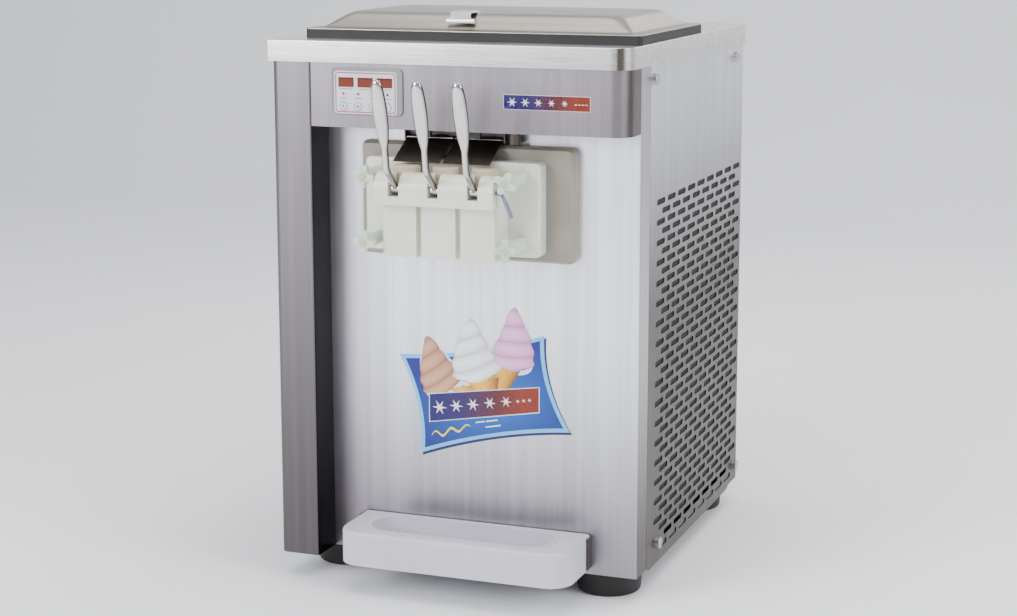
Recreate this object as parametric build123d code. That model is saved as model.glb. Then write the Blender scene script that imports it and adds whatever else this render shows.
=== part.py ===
"""Countertop soft-serve ice cream maker with three draw levers.

Millimetres, +X to the machine's right as seen from the front, +Y to the back, +Z up.
The model is laid out with Z = 0 on the worktop and Y = 0 on the front of the fascia,
and is moved along Y at the end so that its origin is the middle of its footprint.
"""
import math
import os

from build123d import *

# ---------------------------------------------------------------- driving sizes
BODY_WIDTH = 534.0
BODY_DEPTH = 620.0          # front of the fascia to the rear panel
FOOT_HEIGHT = 36.0
BODY_HEIGHT = 727.0         # underside of the cabinet to the underside of the top rim
RIM_HEIGHT = 30.0
RIM_OVERHANG = 3.0
RIM_RADIUS = 27.0
SHEET = 1.5
RECESS = 58.0               # how far the front panel stands behind the fascia
COLUMN_WIDTH = 62.0
FASCIA_HEIGHT = 91.0
CORNER_RETURN = 45.0        # side return of the front panel and of the left column
SEAM = 1.0                  # gap between neighbouring sheets
PANEL_DROP = 5.0            # how far the side panels hang below the cabinet
BASE_LIP = 20.0

FOOT_RADIUS = 50.0
FOOT_TAPER = 4.0
FOOT_INSET_X = 59.0
FOOT_FRONT_INSET = 56.0     # front feet behind the front panel
FOOT_REAR_INSET = 60.0

VENT_LENGTH = 42.0
VENT_HEIGHT = 8.4
VENT_PITCH_Y = 53.5
VENT_PITCH_Z = 14.7
VENT_MARGIN_Z = 30.0        # lowest row above the underside of the cabinet
VENT_TOP_GAP = 180.0        # height of the plain sheet above the rows
VENT_MARGIN_Y = 36.0        # panel edge to the first slot
SCREW_HEAD_RADIUS = 8.5
SCREW_HEAD_HEIGHT = 8.0
SCREW_SHANK_RADIUS = 2.5
SCREW_SHANK_LENGTH = 3.0
SCREW_FIT = 0.05
SCREW_EDGE = 10.0           # upper front screws behind the side panels' front edges
SCREW_TOP_DROP = 20.0
SCREW_BASE_RISE = 27.0

LID_X = 16.5
LID_WIDTH = 507.0
LID_DEPTH = 308.0
LID_FRONT_Y = 50.0
LID_FLANGE = 18.0
LID_SLOPE_RUN = 30.0
LID_SLOPE_RISE = 24.0
GASKET_HEIGHT = 13.0
GASKET_WIDTH = 14.0
HANDLE_X = -5.0
HANDLE_WIDTH = 42.0
HANDLE_STRAP_WIDTH = 30.0
HANDLE_SEAT = 14.0          # strap on the flat top behind the edge of the slope
HANDLE_REACH = 23.0         # bar in front of the edge of the slope
HANDLE_BAR_RADIUS = 3.5
HANDLE_DROP = 11.0

HOPPER_DEPTH = 150.0
HOPPER_GAP = 24.0
HOPPER_MARGIN_X = 22.0      # lid edge to hopper wall
HOPPER_MARGIN_Y = 24.0
HOPPER_RADIUS = 28.0
NECK_RADIUS = 13.0
NECK_BORE = 10.0
FEED_TUBE_RADIUS = 7.0
FEED_TUBE_BORE = 4.5
FEED_TUBE_GAP = 0.2

HEAD_X = 6.0                # middle of the dispensing door
HEAD_Z = 565.0
DOOR_WIDTH = 262.0
DOOR_HEIGHT = 132.0
DOOR_THICKNESS = 26.0
BACKPLATE_OFFSET_X = 10.0
BACKPLATE_OFFSET_Z = 4.0
BACKPLATE_WIDTH = 324.0
BACKPLATE_HEIGHT = 164.0
BACKPLATE_THICKNESS = 22.0
BACKPLATE_BEVEL = 9.0
LEVER_PITCH = 58.5
BLOCK_WIDTH = 168.0
BLOCK_REACH = 50.0          # front of the valve block ahead of the door
BLOCK_RISE = 39.0           # top of the valve block above the door's middle
GROOVE_WIDTH = 8.0
GROOVE_DEPTH = 9.0
HEADER_WIDTH = 176.0
HEADER_REACH = 70.0
HEADER_RADIUS = 22.0
HEADER_DROP = 9.0           # bottom of the header above the door's middle
STUD_RADIUS = 4.0
STUD_FIT = 0.05
STUD_SPREAD_X = 105.0
STUD_SPREAD_Z = 46.0
STUD_HOLE_GAP = 0.5
KNOB_SLEEVE_RADIUS = 10.0
KNOB_LENGTH = 69.7          # star face to the end of the sleeve
KNOB_HEAD_THICKNESS = 9.0
KNOB_TIP_RADIUS = 16.5
KNOB_LOBE_RADIUS = 5.0
KNOB_CORE_RADIUS = 9.5
KNOB_FACE_GAP = 0.3
KNOB_TURNS = {"upper_left": -10.0, "upper_right": 62.0, "lower_left": -10.0, "lower_right": 0.0}

PISTON_RADIUS = 19.0
PISTON_GAP = 0.3
PISTON_BEHIND = 30.0        # piston axis behind the front of the valve block
PISTON_SEAT = 26.0          # valve seat above the bottom of the valve block
PISTON_TOP_GAP = 2.4        # outer piston tops under the front edges of the flaps
MIDDLE_STEP = 11.0          # how far the middle piston's rear half is cut down
OUTLET_RADIUS = 14.0
OUTLET_TIP_RADIUS = 12.5
OUTLET_ROOT_RADIUS = 8.0
OUTLET_POINTS = 6
OUTLET_DEPTH = 8.0
PORT_RADIUS = 6.0

ROD_RADIUS = 3.0
ROD_FIT = 0.05
ROD_TAIL = 34.0
PIVOT_BEHIND = 13.0         # pivot behind the front of the header
PIVOT_BELOW = 22.0          # pivot below the top of the header
LEVER_PULL_DEG = 35.0
NOSE_REACH = 17.5
NOSE_RADIUS = 4.0
NOSE_CLEARANCE = 1.0
HUB_RADIUS = 6.5
HUB_WIDTH = 13.0
SLOT_GAP = 1.5              # lever hub to slot wall
NECK_ROD_RADIUS = 4.6
NECK_POINTS = ((-13.0, 10.0), (-34.0, 30.0), (-39.0, 62.0))
GRIP_LENGTH = 97.0
GRIP_LEAN_DEG = 16.0
GRIP_HALF_WIDTH = 10.5
GRIP_HALF_THICKNESS = 6.2

FLAP_THICKNESS = 1.2
FLAP_WIDTH = 70.0
FLAP_GAP = 5.0
FLAP_OFFSET_X = -8.5
FLAP_FRONT_Y = -8.0
FLAP_FRONT_BELOW = 45.0     # front edges of the flaps below the fascia
FLAP_HINGE_Y = 46.0
FLAP_HINGE_BELOW = 15.0
FLAP_HINGE_RADIUS = 2.5
FLAP_LIFT_DEG = 9.5
FLAP_FIT = 0.3
SWITCH_LENGTH = 20.0
SWITCH_HEIGHT = 9.0

BEZEL_X = -116.5
BEZEL_Z_BELOW = 39.5        # middle of the keypad below the top rim
BEZEL_WIDTH = 109.0
BEZEL_HEIGHT = 67.0
BEZEL_THICKNESS = 3.0
BEZEL_RADIUS = 8.0
KEYPAD_OFFSET_X = -1.5
KEYPAD_OFFSET_Z = -1.5
KEYPAD_WIDTH = 96.0
KEYPAD_HEIGHT = 60.0
KEYPAD_THICKNESS = 0.8
DISPLAY_COUNT = 3
DISPLAY_PITCH = 29.5
DISPLAY_WIDTH = 23.5
DISPLAY_HEIGHT = 13.5
DISPLAY_RISE = 14.3
DISPLAY_THICKNESS = 1.2
BUTTON_COUNT = 4
BUTTON_PITCH = 22.5
BUTTON_RADIUS = 6.3
BUTTON_GAP = 0.4
BUTTON_DROP = 19.5
BUTTON_PROUD = 1.0
BUTTON_TRAVEL = 0.8
BUTTON_STEM_RADIUS = 2.5

CYLINDER_SPREAD = 58.5
CYLINDER_BORE = 46.0
CYLINDER_WALL = 2.0
CYLINDER_BELOW = 3.0        # cylinder axis below the middle of the door
JACKET_RADIUS = 56.0
CYLINDER_BACK = 400.0
SHAFT_RADIUS = 10.0
SHAFT_FIT = 0.05
BEATER_GAP = 1.2
BEATER_ARMS = 6
SEAL_RADIUS = 52.0
SEAL_SECTION = 3.0

GEARBOX_WIDTH = 96.0
GEARBOX_DEPTH = 70.0
GEARBOX_HEIGHT = 118.0
GEARBOX_GAP = 10.0
PULLEY_RADIUS = 52.0
MOTOR_PULLEY_RADIUS = 30.0
PULLEY_THICKNESS = 11.0
PULLEY_PITCH = 15.0
PULLEY_GROOVE = 4.0
BELT_WIDTH = 6.0
BELT_THICKNESS = 6.0
BELT_FIT = 0.3
STUB_RADIUS = 8.0
MOTOR_RADIUS = 65.0
MOTOR_LENGTH = 150.0
MOTOR_DROP = 162.0          # motor axis below the cylinder axes
SHELF_THICKNESS = 3.0
POST_SIZE = 25.0
POST_WALL = 2.0

COMPRESSOR_RADIUS = 75.0
COMPRESSOR_HEIGHT = 215.0
COMPRESSOR_X = 150.0
COMPRESSOR_REAR_GAP = 75.0  # shell to the rear edge of the cabinet
CONDENSER_FRONT_GAP = 102.0 # condenser behind the front panel
CONDENSER_THICKNESS = 60.0
CONDENSER_LENGTH = 340.0
CONDENSER_HEIGHT = 260.0
CONDENSER_RISE = 30.0
FAN_RADIUS = 105.0
FAN_BLADES = 5
FAN_HUB_RADIUS = 22.0
FAN_DEPTH = 22.0
FAN_GAP = 14.0
FAN_MOTOR_RADIUS = 36.0
FAN_MOTOR_LENGTH = 55.0
PIPE_RADIUS = 4.0

TRAY_X = 22.5
TRAY_WIDTH = 351.0
TRAY_REACH = 52.0           # front of the tray ahead of the fascia
TRAY_RISE = 10.0            # underside of the tray above the cabinet's underside
TRAY_HEIGHT = 50.0
TRAY_CORNER = 34.0
TRAY_WALL = 4.0
TRAY_EDGE = 5.0
TRAY_BACK_GAP = 3.0
BASIN_LENGTH = 278.0
BASIN_WIDTH = 72.0
BASIN_DEPTH = 30.0
BASIN_OFFSET_Y = 0.0
BASIN_LIP = 4.0
BRACKET_SHEET = 2.0

GLAND_X = 180.0
GLAND_RISE = 50.0
GLAND_BORE = 4.0
GLAND_RADIUS = 9.0
GLAND_LENGTH = 22.0

# ---------------------------------------------------------------- derived places
HALF = BODY_WIDTH / 2
BASE_Z = FOOT_HEIGHT
RIM_Z = BASE_Z + BODY_HEIGHT
TOP_Z = RIM_Z + RIM_HEIGHT
COLUMN_X = -HALF + COLUMN_WIDTH
FASCIA_Z = RIM_Z - FASCIA_HEIGHT
PANEL_INNER_Y = RECESS + SHEET
RETURN_Y = RECESS + CORNER_RETURN
LID_Z = TOP_Z + GASKET_HEIGHT
LID_TOP_Z = LID_Z + SHEET + LID_SLOPE_RISE
LID_EDGE_Y = LID_FRONT_Y + LID_FLANGE + LID_SLOPE_RUN
HANDLE_BAR_Y = LID_EDGE_Y - HANDLE_REACH
HOPPER_HALF_X = LID_WIDTH / 2 - GASKET_WIDTH - HOPPER_MARGIN_X
HOPPER_WIDTH = HOPPER_HALF_X - HOPPER_GAP / 2
HOPPER_FRONT_Y = LID_FRONT_Y + HOPPER_MARGIN_Y
HOPPER_LENGTH = LID_DEPTH - 2 * HOPPER_MARGIN_Y
HOPPER_FLOOR_Z = TOP_Z - HOPPER_DEPTH
NECK_Y = HOPPER_FRONT_Y + 50.0

BACKPLATE_Y = RECESS - BACKPLATE_THICKNESS
DOOR_Y = BACKPLATE_Y - DOOR_THICKNESS
BLOCK_Y = DOOR_Y - BLOCK_REACH
HEADER_Y = DOOR_Y - HEADER_REACH
DOOR_BASE_Z = HEAD_Z - DOOR_HEIGHT / 2
BLOCK_TOP_Z = HEAD_Z + BLOCK_RISE
HEADER_BASE_Z = HEAD_Z + HEADER_DROP
HEADER_TOP_Z = HEADER_BASE_Z + 2 * HEADER_RADIUS
PISTON_Y = BLOCK_Y + PISTON_BEHIND
SEAT_Z = DOOR_BASE_Z + PISTON_SEAT
FLAP_FRONT_Z = FASCIA_Z - FLAP_FRONT_BELOW
FLAP_HINGE_Z = FASCIA_Z - FLAP_HINGE_BELOW
PISTON_TOP_Z = FLAP_FRONT_Z - PISTON_TOP_GAP
PIVOT_Y = HEADER_Y + PIVOT_BEHIND
PIVOT_Z = HEADER_TOP_Z - PIVOT_BELOW
NOSE_DIP_DEG = LEVER_PULL_DEG / 2
NOSE_Z = PIVOT_Z - NOSE_REACH * math.sin(math.radians(NOSE_DIP_DEG))
PISTON_LIFT = 2 * NOSE_REACH * math.sin(math.radians(NOSE_DIP_DEG))
SLOT_FLOOR_Z = NOSE_Z - NOSE_RADIUS - NOSE_CLEARANCE
LEVER_XS = [HEAD_X + i * LEVER_PITCH for i in (-1, 0, 1)]
CYLINDER_Z = HEAD_Z - CYLINDER_BELOW
CYLINDER_XS = [HEAD_X - CYLINDER_SPREAD, HEAD_X + CYLINDER_SPREAD]
GEARBOX_Y = CYLINDER_BACK + GEARBOX_GAP
PULLEY_Y = GEARBOX_Y + GEARBOX_DEPTH + 6.0
MOTOR_Z = CYLINDER_Z - MOTOR_DROP
SHELF_Z = CYLINDER_Z - GEARBOX_HEIGHT / 2
KEYPAD_X = BEZEL_X + KEYPAD_OFFSET_X
BEZEL_Z = RIM_Z - BEZEL_Z_BELOW
KEYPAD_Z = BEZEL_Z + KEYPAD_OFFSET_Z
BUTTON_XS = [KEYPAD_X + (i - (BUTTON_COUNT - 1) / 2) * BUTTON_PITCH for i in range(BUTTON_COUNT)]
BUTTON_Z = KEYPAD_Z - BUTTON_DROP
DISPLAY_XS = [KEYPAD_X + (i - (DISPLAY_COUNT - 1) / 2) * DISPLAY_PITCH for i in range(DISPLAY_COUNT)]
DISPLAY_Z = KEYPAD_Z + DISPLAY_RISE
TRAY_Z = BASE_Z + TRAY_RISE
TRAY_TOP_Z = TRAY_Z + TRAY_HEIGHT
FOOT_X = HALF - FOOT_INSET_X
FOOT_YS = [RECESS + FOOT_FRONT_INSET, BODY_DEPTH - FOOT_REAR_INSET]
COMPRESSOR_Y = BODY_DEPTH - COMPRESSOR_REAR_GAP - COMPRESSOR_RADIUS
CONDENSER_Y = RECESS + CONDENSER_FRONT_GAP
GLAND_Z = BASE_Z + GLAND_RISE
STUD_POINTS = [(HEAD_X + sx * STUD_SPREAD_X, HEAD_Z + sz * STUD_SPREAD_Z)
               for sz in (1, -1) for sx in (-1, 1)]
SCREW_POINTS = [(RETURN_Y + SCREW_EDGE, RIM_Z - SCREW_TOP_DROP), (BODY_DEPTH - 60.0, RIM_Z - SCREW_TOP_DROP),
                (RETURN_Y + SCREW_EDGE + 38, BASE_Z + SCREW_BASE_RISE),
                (BODY_DEPTH - 22.0, BASE_Z + SCREW_BASE_RISE)]
REAR_SCREW_POINTS = [(sx * (HALF - 22.0), z) for z in (BASE_Z + SCREW_BASE_RISE, RIM_Z - SCREW_TOP_DROP)
                     for sx in (-1, 1)]


# ---------------------------------------------------------------- shape helpers
def block(x0, x1, y0, y1, z0, z1):
    """A box between two corners."""
    return Pos((x0 + x1) / 2, (y0 + y1) / 2, (z0 + z1) / 2) * Box(abs(x1 - x0), abs(y1 - y0), abs(z1 - z0))


def rod_x(x0, x1, y, z, radius):
    """A cylinder along X."""
    return Pos((x0 + x1) / 2, y, z) * Rot(0, 90, 0) * Cylinder(radius, abs(x1 - x0))


def rod_y(x, y0, y1, z, radius):
    """A cylinder along Y."""
    return Pos(x, (y0 + y1) / 2, z) * Rot(90, 0, 0) * Cylinder(radius, abs(y1 - y0))


def rod_z(x, y, z0, z1, radius):
    """A cylinder along Z."""
    return Pos(x, y, (z0 + z1) / 2) * Cylinder(radius, abs(z1 - z0))


def plan(x0, x1, y0, y1, radius=0.0):
    """A rectangle seen from above, with rounded corners."""
    sketch = RectangleRounded(x1 - x0, y1 - y0, radius) if radius else Rectangle(x1 - x0, y1 - y0)
    return Pos((x0 + x1) / 2, (y0 + y1) / 2) * sketch


def prism(sketch, z0, z1):
    """A plan sketch raised from z0 to z1."""
    return Pos(0, 0, z0) * extrude(sketch, z1 - z0)


def facing(sketch, x, y_front, z, thickness):
    """A sketch drawn as seen from the front, made solid from y_front backwards."""
    return Pos(x, y_front + thickness, z) * Rot(90, 0, 0) * extrude(sketch, thickness)


def rounded_corner(sketch, x, y, radius):
    """The same sketch with the corner nearest to (x, y) rounded."""
    corner = sketch.vertices().sort_by_distance((x, y, 0))[0]
    return fillet(corner, radius)


def joined(pieces):
    """Separate solids kept together as one node."""
    return Compound(children=[solid for piece in pieces for solid in piece.solids()])


# ---------------------------------------------------------------- cabinet
def side_panel(side, front_y):
    """Vented side sheet with a dropped lower edge and four screw holes."""
    outline = Polygon(
        (front_y, BASE_Z), (front_y + 12, BASE_Z - PANEL_DROP), (BODY_DEPTH - 60, BASE_Z - PANEL_DROP),
        (BODY_DEPTH - 48, BASE_Z), (BODY_DEPTH, BASE_Z), (BODY_DEPTH, RIM_Z), (front_y, RIM_Z), align=None)
    first_y = RETURN_Y + VENT_MARGIN_Y + VENT_LENGTH / 2
    count = int((BODY_DEPTH - VENT_LENGTH / 2 - 8 - first_y) / VENT_PITCH_Y) + 1
    base = BASE_Z + VENT_MARGIN_Z - VENT_PITCH_Z
    rows = int((RIM_Z - VENT_TOP_GAP - base) / VENT_PITCH_Z)
    rows += rows % 2
    top_row_z = base + (rows - 1) * VENT_PITCH_Z
    slots = []
    for row in range(rows):
        for i in range(count - row % 2):
            y = first_y + (row % 2) * VENT_PITCH_Y / 2 + i * VENT_PITCH_Y
            z = top_row_z - row * VENT_PITCH_Z
            clear = all(abs(y - sy) > VENT_LENGTH / 2 + 9 or abs(z - sz) > VENT_HEIGHT / 2 + 8
                        for sy, sz in SCREW_POINTS)
            if clear:
                slots.append(Pos(y, z) * SlotOverall(VENT_LENGTH, VENT_HEIGHT))
    holes = [Pos(y, z) * Circle(SCREW_SHANK_RADIUS + SCREW_FIT) for y, z in SCREW_POINTS]
    sheet = outline - slots - holes
    plane = Plane.YZ.offset(HALF - SHEET if side > 0 else -HALF)
    return extrude(plane * sheet, SHEET)


def rear_panel():
    """Back sheet between the side panels, with a vent field, a gland hole and screw holes."""
    half = HALF - SHEET - 0.3
    low = BASE_Z + 2 * SHEET
    outline = Pos(0, (low + RIM_Z) / 2) * Rectangle(2 * half, RIM_Z - low)
    rows = int((BODY_HEIGHT - 330) / VENT_PITCH_Z)
    columns = int((BODY_WIDTH - 150) / VENT_PITCH_Y)
    slots = []
    for row in range(rows):
        for i in range(columns - row % 2):
            x = (i - (columns - row % 2 - 1) / 2) * VENT_PITCH_Y
            slots.append(Pos(x, RIM_Z - VENT_TOP_GAP - row * VENT_PITCH_Z) * SlotOverall(VENT_LENGTH, VENT_HEIGHT))
    holes = [Pos(x, z) * Circle(SCREW_SHANK_RADIUS + SCREW_FIT) for x, z in REAR_SCREW_POINTS]
    gland = Pos(GLAND_X, GLAND_Z) * Circle(GLAND_RADIUS - 2)
    return facing(outline - slots - holes - gland, 0, BODY_DEPTH - SHEET, 0, SHEET)


def panel_screws():
    """Round-headed posts that hold the side and rear panels."""
    screws = []
    for side in (-1, 1):
        for y, z in SCREW_POINTS:
            head = rod_x(side * HALF, side * (HALF + SCREW_HEAD_HEIGHT), y, z, SCREW_HEAD_RADIUS)
            head = fillet(head.edges().filter_by(GeomType.CIRCLE).sort_by(Axis.X)[-1 if side > 0 else 0], 1.2)
            shank = rod_x(side * (HALF - SCREW_SHANK_LENGTH), side * HALF, y, z, SCREW_SHANK_RADIUS)
            screws.append(head + shank)
    for x, z in REAR_SCREW_POINTS:
        head = rod_y(x, BODY_DEPTH, BODY_DEPTH + SCREW_HEAD_HEIGHT / 2, z, SCREW_HEAD_RADIUS)
        shank = rod_y(x, BODY_DEPTH - 2, BODY_DEPTH, z, SCREW_SHANK_RADIUS)
        screws.append(head + shank)
    return joined(screws)


def base_pan():
    """Floor tray of the cabinet with upturned edges."""
    half = HALF - SHEET - 0.3
    front = PANEL_INNER_Y + 0.3
    back = BODY_DEPTH - SHEET - 0.3
    tray = block(-half, half, front, back, BASE_Z, BASE_Z + BASE_LIP)
    return tray - block(-half + SHEET, half - SHEET, front + SHEET, back - SHEET,
                        BASE_Z + 2 * SHEET, BASE_Z + BASE_LIP + 1)


def feet():
    """Four moulded rubber feet under the base pan."""
    pads = []
    for x in (-FOOT_X, FOOT_X):
        for y in FOOT_YS:
            pad = Pos(x, y, FOOT_HEIGHT / 2) * Cone(FOOT_RADIUS - FOOT_TAPER, FOOT_RADIUS, FOOT_HEIGHT)
            pads.append(fillet(pad.edges().filter_by(GeomType.CIRCLE).sort_by(Axis.Z)[0], 5))
    return joined(pads)


def inner_frame():
    """Four corner posts, side rails and the shelf that carries the gearboxes and the motor."""
    outer = HALF - 2 * SHEET - 0.6
    front = PANEL_INNER_Y + 12
    back = BODY_DEPTH - 2 * SHEET - 0.6
    low = BASE_Z + 2 * SHEET
    high = TOP_Z - SHEET
    pieces = []
    for sx in (-1, 1):
        for y, sy in ((front, 1), (back, -1)):
            x = sx * outer
            y_in = y + sy * POST_SIZE
            leg = block(min(x, x - sx * POST_WALL), max(x, x - sx * POST_WALL), min(y, y_in), max(y, y_in), low, high)
            foot = block(min(x, x - sx * POST_SIZE), max(x, x - sx * POST_SIZE),
                         min(y, y + sy * POST_WALL), max(y, y + sy * POST_WALL), low, high)
            pieces.append(leg + foot)
        x = sx * (outer - POST_WALL)
        rail = block(min(x, x - sx * POST_WALL), max(x, x - sx * POST_WALL), front + POST_WALL,
                     back - POST_WALL, SHELF_Z - POST_SIZE, SHELF_Z)
        pieces.append(rail)
    shelf_half = outer - 2 * POST_WALL
    shelf = block(-shelf_half, shelf_half, GEARBOX_Y - 6, GEARBOX_Y + GEARBOX_DEPTH + 4,
                  SHELF_Z - SHELF_THICKNESS, SHELF_Z)
    return pieces[0] + pieces[1:] + shelf


def left_column():
    """Hollow post at the front left corner, open at the back."""
    high = RIM_Z
    outer = rounded_corner(rounded_corner(plan(-HALF, COLUMN_X, 0, RETURN_Y), -HALF, 0, 12), COLUMN_X, 0, 3)
    inner = plan(-HALF + SHEET, COLUMN_X - SHEET, SHEET, RETURN_Y + 1)
    inner = rounded_corner(rounded_corner(inner, -HALF + SHEET, SHEET, 12 - SHEET), COLUMN_X - SHEET, SHEET, 1.5)
    shell = prism(outer - inner, BASE_Z, high)
    shell -= block(COLUMN_X - SHEET - 1, COLUMN_X + 1, RECESS, RETURN_Y + 1, BASE_Z - 1, high + 1)
    cap_back = RECESS
    cap = block(-HALF + SHEET, COLUMN_X - SHEET, 13, cap_back, BASE_Z, BASE_Z + SHEET)
    return shell + cap


def front_panel():
    """Recessed front sheet with a folded return at the right edge and two cylinder holes."""
    left = COLUMN_X - 34
    face = block(left, HALF, RECESS, PANEL_INNER_Y, BASE_Z, RIM_Z)
    side = block(HALF - SHEET, HALF, RECESS, RETURN_Y, BASE_Z, RIM_Z)
    sheet = face + side
    edge = sheet.edges().filter_by(Axis.Z).sort_by_distance((HALF, RECESS, RIM_Z / 2))[0]
    sheet = fillet(edge, 1.2)
    for x in CYLINDER_XS:
        sheet -= rod_y(x, RECESS - 1, PANEL_INNER_Y + 1, CYLINDER_Z, CYLINDER_BORE + CYLINDER_WALL + 0.2)
    for x, z in STUD_POINTS:
        sheet -= rod_y(x, RECESS - 1, PANEL_INNER_Y + 1, z, STUD_RADIUS)
    return sheet


def front_fascia():
    """Folded shell above the recess, round at its right corner and closed underneath."""
    x0 = COLUMN_X + 0.6
    corner = RIM_RADIUS - 2
    outer = rounded_corner(plan(x0, HALF, 0, RECESS - 0.3), HALF, 0, corner)
    inner = rounded_corner(plan(x0 + SHEET, HALF - SHEET, SHEET, RECESS + 1), HALF - SHEET, SHEET, corner - SHEET)
    shell = prism(outer - inner, FASCIA_Z, RIM_Z) + prism(outer, FASCIA_Z, FASCIA_Z + SHEET)
    for x in BUTTON_XS:
        shell -= rod_y(x, -1, SHEET + 1, BUTTON_Z, BUTTON_STEM_RADIUS + BUTTON_GAP)
    return shell


def top_cover():
    """Deck with a deep rim all round and two hopper openings."""
    half = HALF + RIM_OVERHANG
    outer = plan(-half, half, -RIM_OVERHANG, BODY_DEPTH + RIM_OVERHANG)
    outer = rounded_corner(outer, half, -RIM_OVERHANG, RIM_RADIUS)
    inner = plan(-half + SHEET, half - SHEET, -RIM_OVERHANG + SHEET, BODY_DEPTH + RIM_OVERHANG - SHEET)
    inner = rounded_corner(inner, half - SHEET, -RIM_OVERHANG + SHEET, RIM_RADIUS - SHEET)
    cover = prism(outer - inner, RIM_Z, TOP_Z) + prism(outer, TOP_Z - SHEET, TOP_Z)
    cover = fillet(cover.faces().sort_by(Axis.Z)[-1].outer_wire().edges(), 1.2)
    for side in (-1, 1):
        cover -= prism(hopper_plan(side, 0), TOP_Z - SHEET - 1, TOP_Z + 1)
    return cover


def hopper_plan(side, grow):
    """Rounded plan of one hopper, grown outwards by its wall."""
    centre = LID_X + side * (HOPPER_GAP + HOPPER_WIDTH) / 2
    half = HOPPER_WIDTH / 2 + grow
    return plan(centre - half, centre + half, HOPPER_FRONT_Y - grow,
                HOPPER_FRONT_Y + HOPPER_LENGTH + grow, HOPPER_RADIUS + grow)


def hoppers():
    """Two open mix hoppers under the deck, each with an outlet neck to its cylinder."""
    vessels = []
    for side, x in zip((-1, 1), CYLINDER_XS):
        rim_z = TOP_Z - SHEET
        vessel = prism(hopper_plan(side, SHEET), HOPPER_FLOOR_Z - SHEET, rim_z)
        vessel += prism(hopper_plan(side, 8), rim_z - SHEET, rim_z)
        neck_low = CYLINDER_Z + math.sqrt(JACKET_RADIUS ** 2 - NECK_RADIUS ** 2) - 6
        vessel += rod_z(x, NECK_Y, neck_low, HOPPER_FLOOR_Z - SHEET, NECK_RADIUS)
        vessel -= prism(hopper_plan(side, 0), HOPPER_FLOOR_Z, rim_z + 1)
        vessel -= rod_z(x, NECK_Y, neck_low - 1, HOPPER_FLOOR_Z + 1, NECK_BORE)
        vessels.append(vessel)
    return joined(vessels)


def feed_tubes():
    """Mix and air feed tubes that stand in the outlet necks."""
    tubes = []
    for x in CYLINDER_XS:
        low = HOPPER_FLOOR_Z - 20
        tube = rod_z(x, NECK_Y, low, TOP_Z - 22, FEED_TUBE_RADIUS)
        tube += rod_z(x, NECK_Y, low + 2, HOPPER_FLOOR_Z - 2, NECK_BORE - FEED_TUBE_GAP)
        tube += rod_z(x, NECK_Y, HOPPER_FLOOR_Z, HOPPER_FLOOR_Z + 5, NECK_BORE + 4)
        tubes.append(tube - rod_z(x, NECK_Y, low - 1, TOP_Z - 21, FEED_TUBE_BORE))
    return joined(tubes)


def lid():
    """Pressed cover over both hoppers: flat flange, sloping sides and a flat top, open below."""
    def shell(grow, base, top):
        x0 = LID_X - LID_WIDTH / 2 + LID_FLANGE
        x1 = LID_X + LID_WIDTH / 2 - LID_FLANGE
        y0 = LID_FRONT_Y + LID_FLANGE
        y1 = LID_FRONT_Y + LID_DEPTH - LID_FLANGE
        low = plan(x0 - grow, x1 + grow, y0 - grow, y1 + grow, 8)
        high = plan(x0 + LID_SLOPE_RUN - grow, x1 - LID_SLOPE_RUN + grow,
                    y0 + LID_SLOPE_RUN - grow, y1 - LID_SLOPE_RUN + grow, 8)
        return loft([Pos(0, 0, base) * low, Pos(0, 0, top) * high])

    flange_top = LID_Z + SHEET
    flange = prism(plan(LID_X - LID_WIDTH / 2, LID_X + LID_WIDTH / 2, LID_FRONT_Y,
                        LID_FRONT_Y + LID_DEPTH, 6), LID_Z, flange_top)
    outside = shell(0, flange_top, LID_TOP_Z)
    inside = shell(-2 * SHEET, LID_Z - 0.01, LID_TOP_Z - SHEET)
    return flange + outside - inside


def lid_gasket():
    """Black sealing frame glued under the flange of the lid."""
    x0 = LID_X - LID_WIDTH / 2 + 0.5
    x1 = LID_X + LID_WIDTH / 2 - 0.5
    y0 = LID_FRONT_Y + 0.5
    y1 = LID_FRONT_Y + LID_DEPTH - 0.5
    ring = plan(x0, x1, y0, y1, 6) - plan(x0 + GASKET_WIDTH, x1 - GASKET_WIDTH, y0 + GASKET_WIDTH,
                                          y1 - GASKET_WIDTH, 2)
    return prism(ring, TOP_Z, LID_Z)


def lid_handle():
    """Folded strap on the front edge of the lid's top, with a rolled finger bar."""
    x0 = HANDLE_X - HANDLE_STRAP_WIDTH / 2
    x1 = HANDLE_X + HANDLE_STRAP_WIDTH / 2
    strap = block(x0, x1, HANDLE_BAR_Y, LID_EDGE_Y + HANDLE_SEAT, LID_TOP_Z, LID_TOP_Z + 2)
    drop = block(x0, x1, HANDLE_BAR_Y - 1, HANDLE_BAR_Y + 1, LID_TOP_Z - HANDLE_DROP, LID_TOP_Z + 2)
    bar = rod_x(HANDLE_X - HANDLE_WIDTH / 2, HANDLE_X + HANDLE_WIDTH / 2, HANDLE_BAR_Y,
                LID_TOP_Z - HANDLE_DROP, HANDLE_BAR_RADIUS)
    return strap + drop + bar


def cord_gland():
    """Threaded cable gland body in the rear panel, with its clamping bore."""
    back = BODY_DEPTH
    body = rod_y(GLAND_X, back - 10, back, GLAND_Z, GLAND_RADIUS - 2)
    nut = facing(RegularPolygon(GLAND_RADIUS + 2, 6), GLAND_X, back, GLAND_Z, 6)
    cap = rod_y(GLAND_X, back + 6, back - 10 + GLAND_LENGTH, GLAND_Z, GLAND_RADIUS)
    return body + nut + cap - rod_y(GLAND_X, back - 11, back + GLAND_LENGTH, GLAND_Z, GLAND_BORE)


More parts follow.
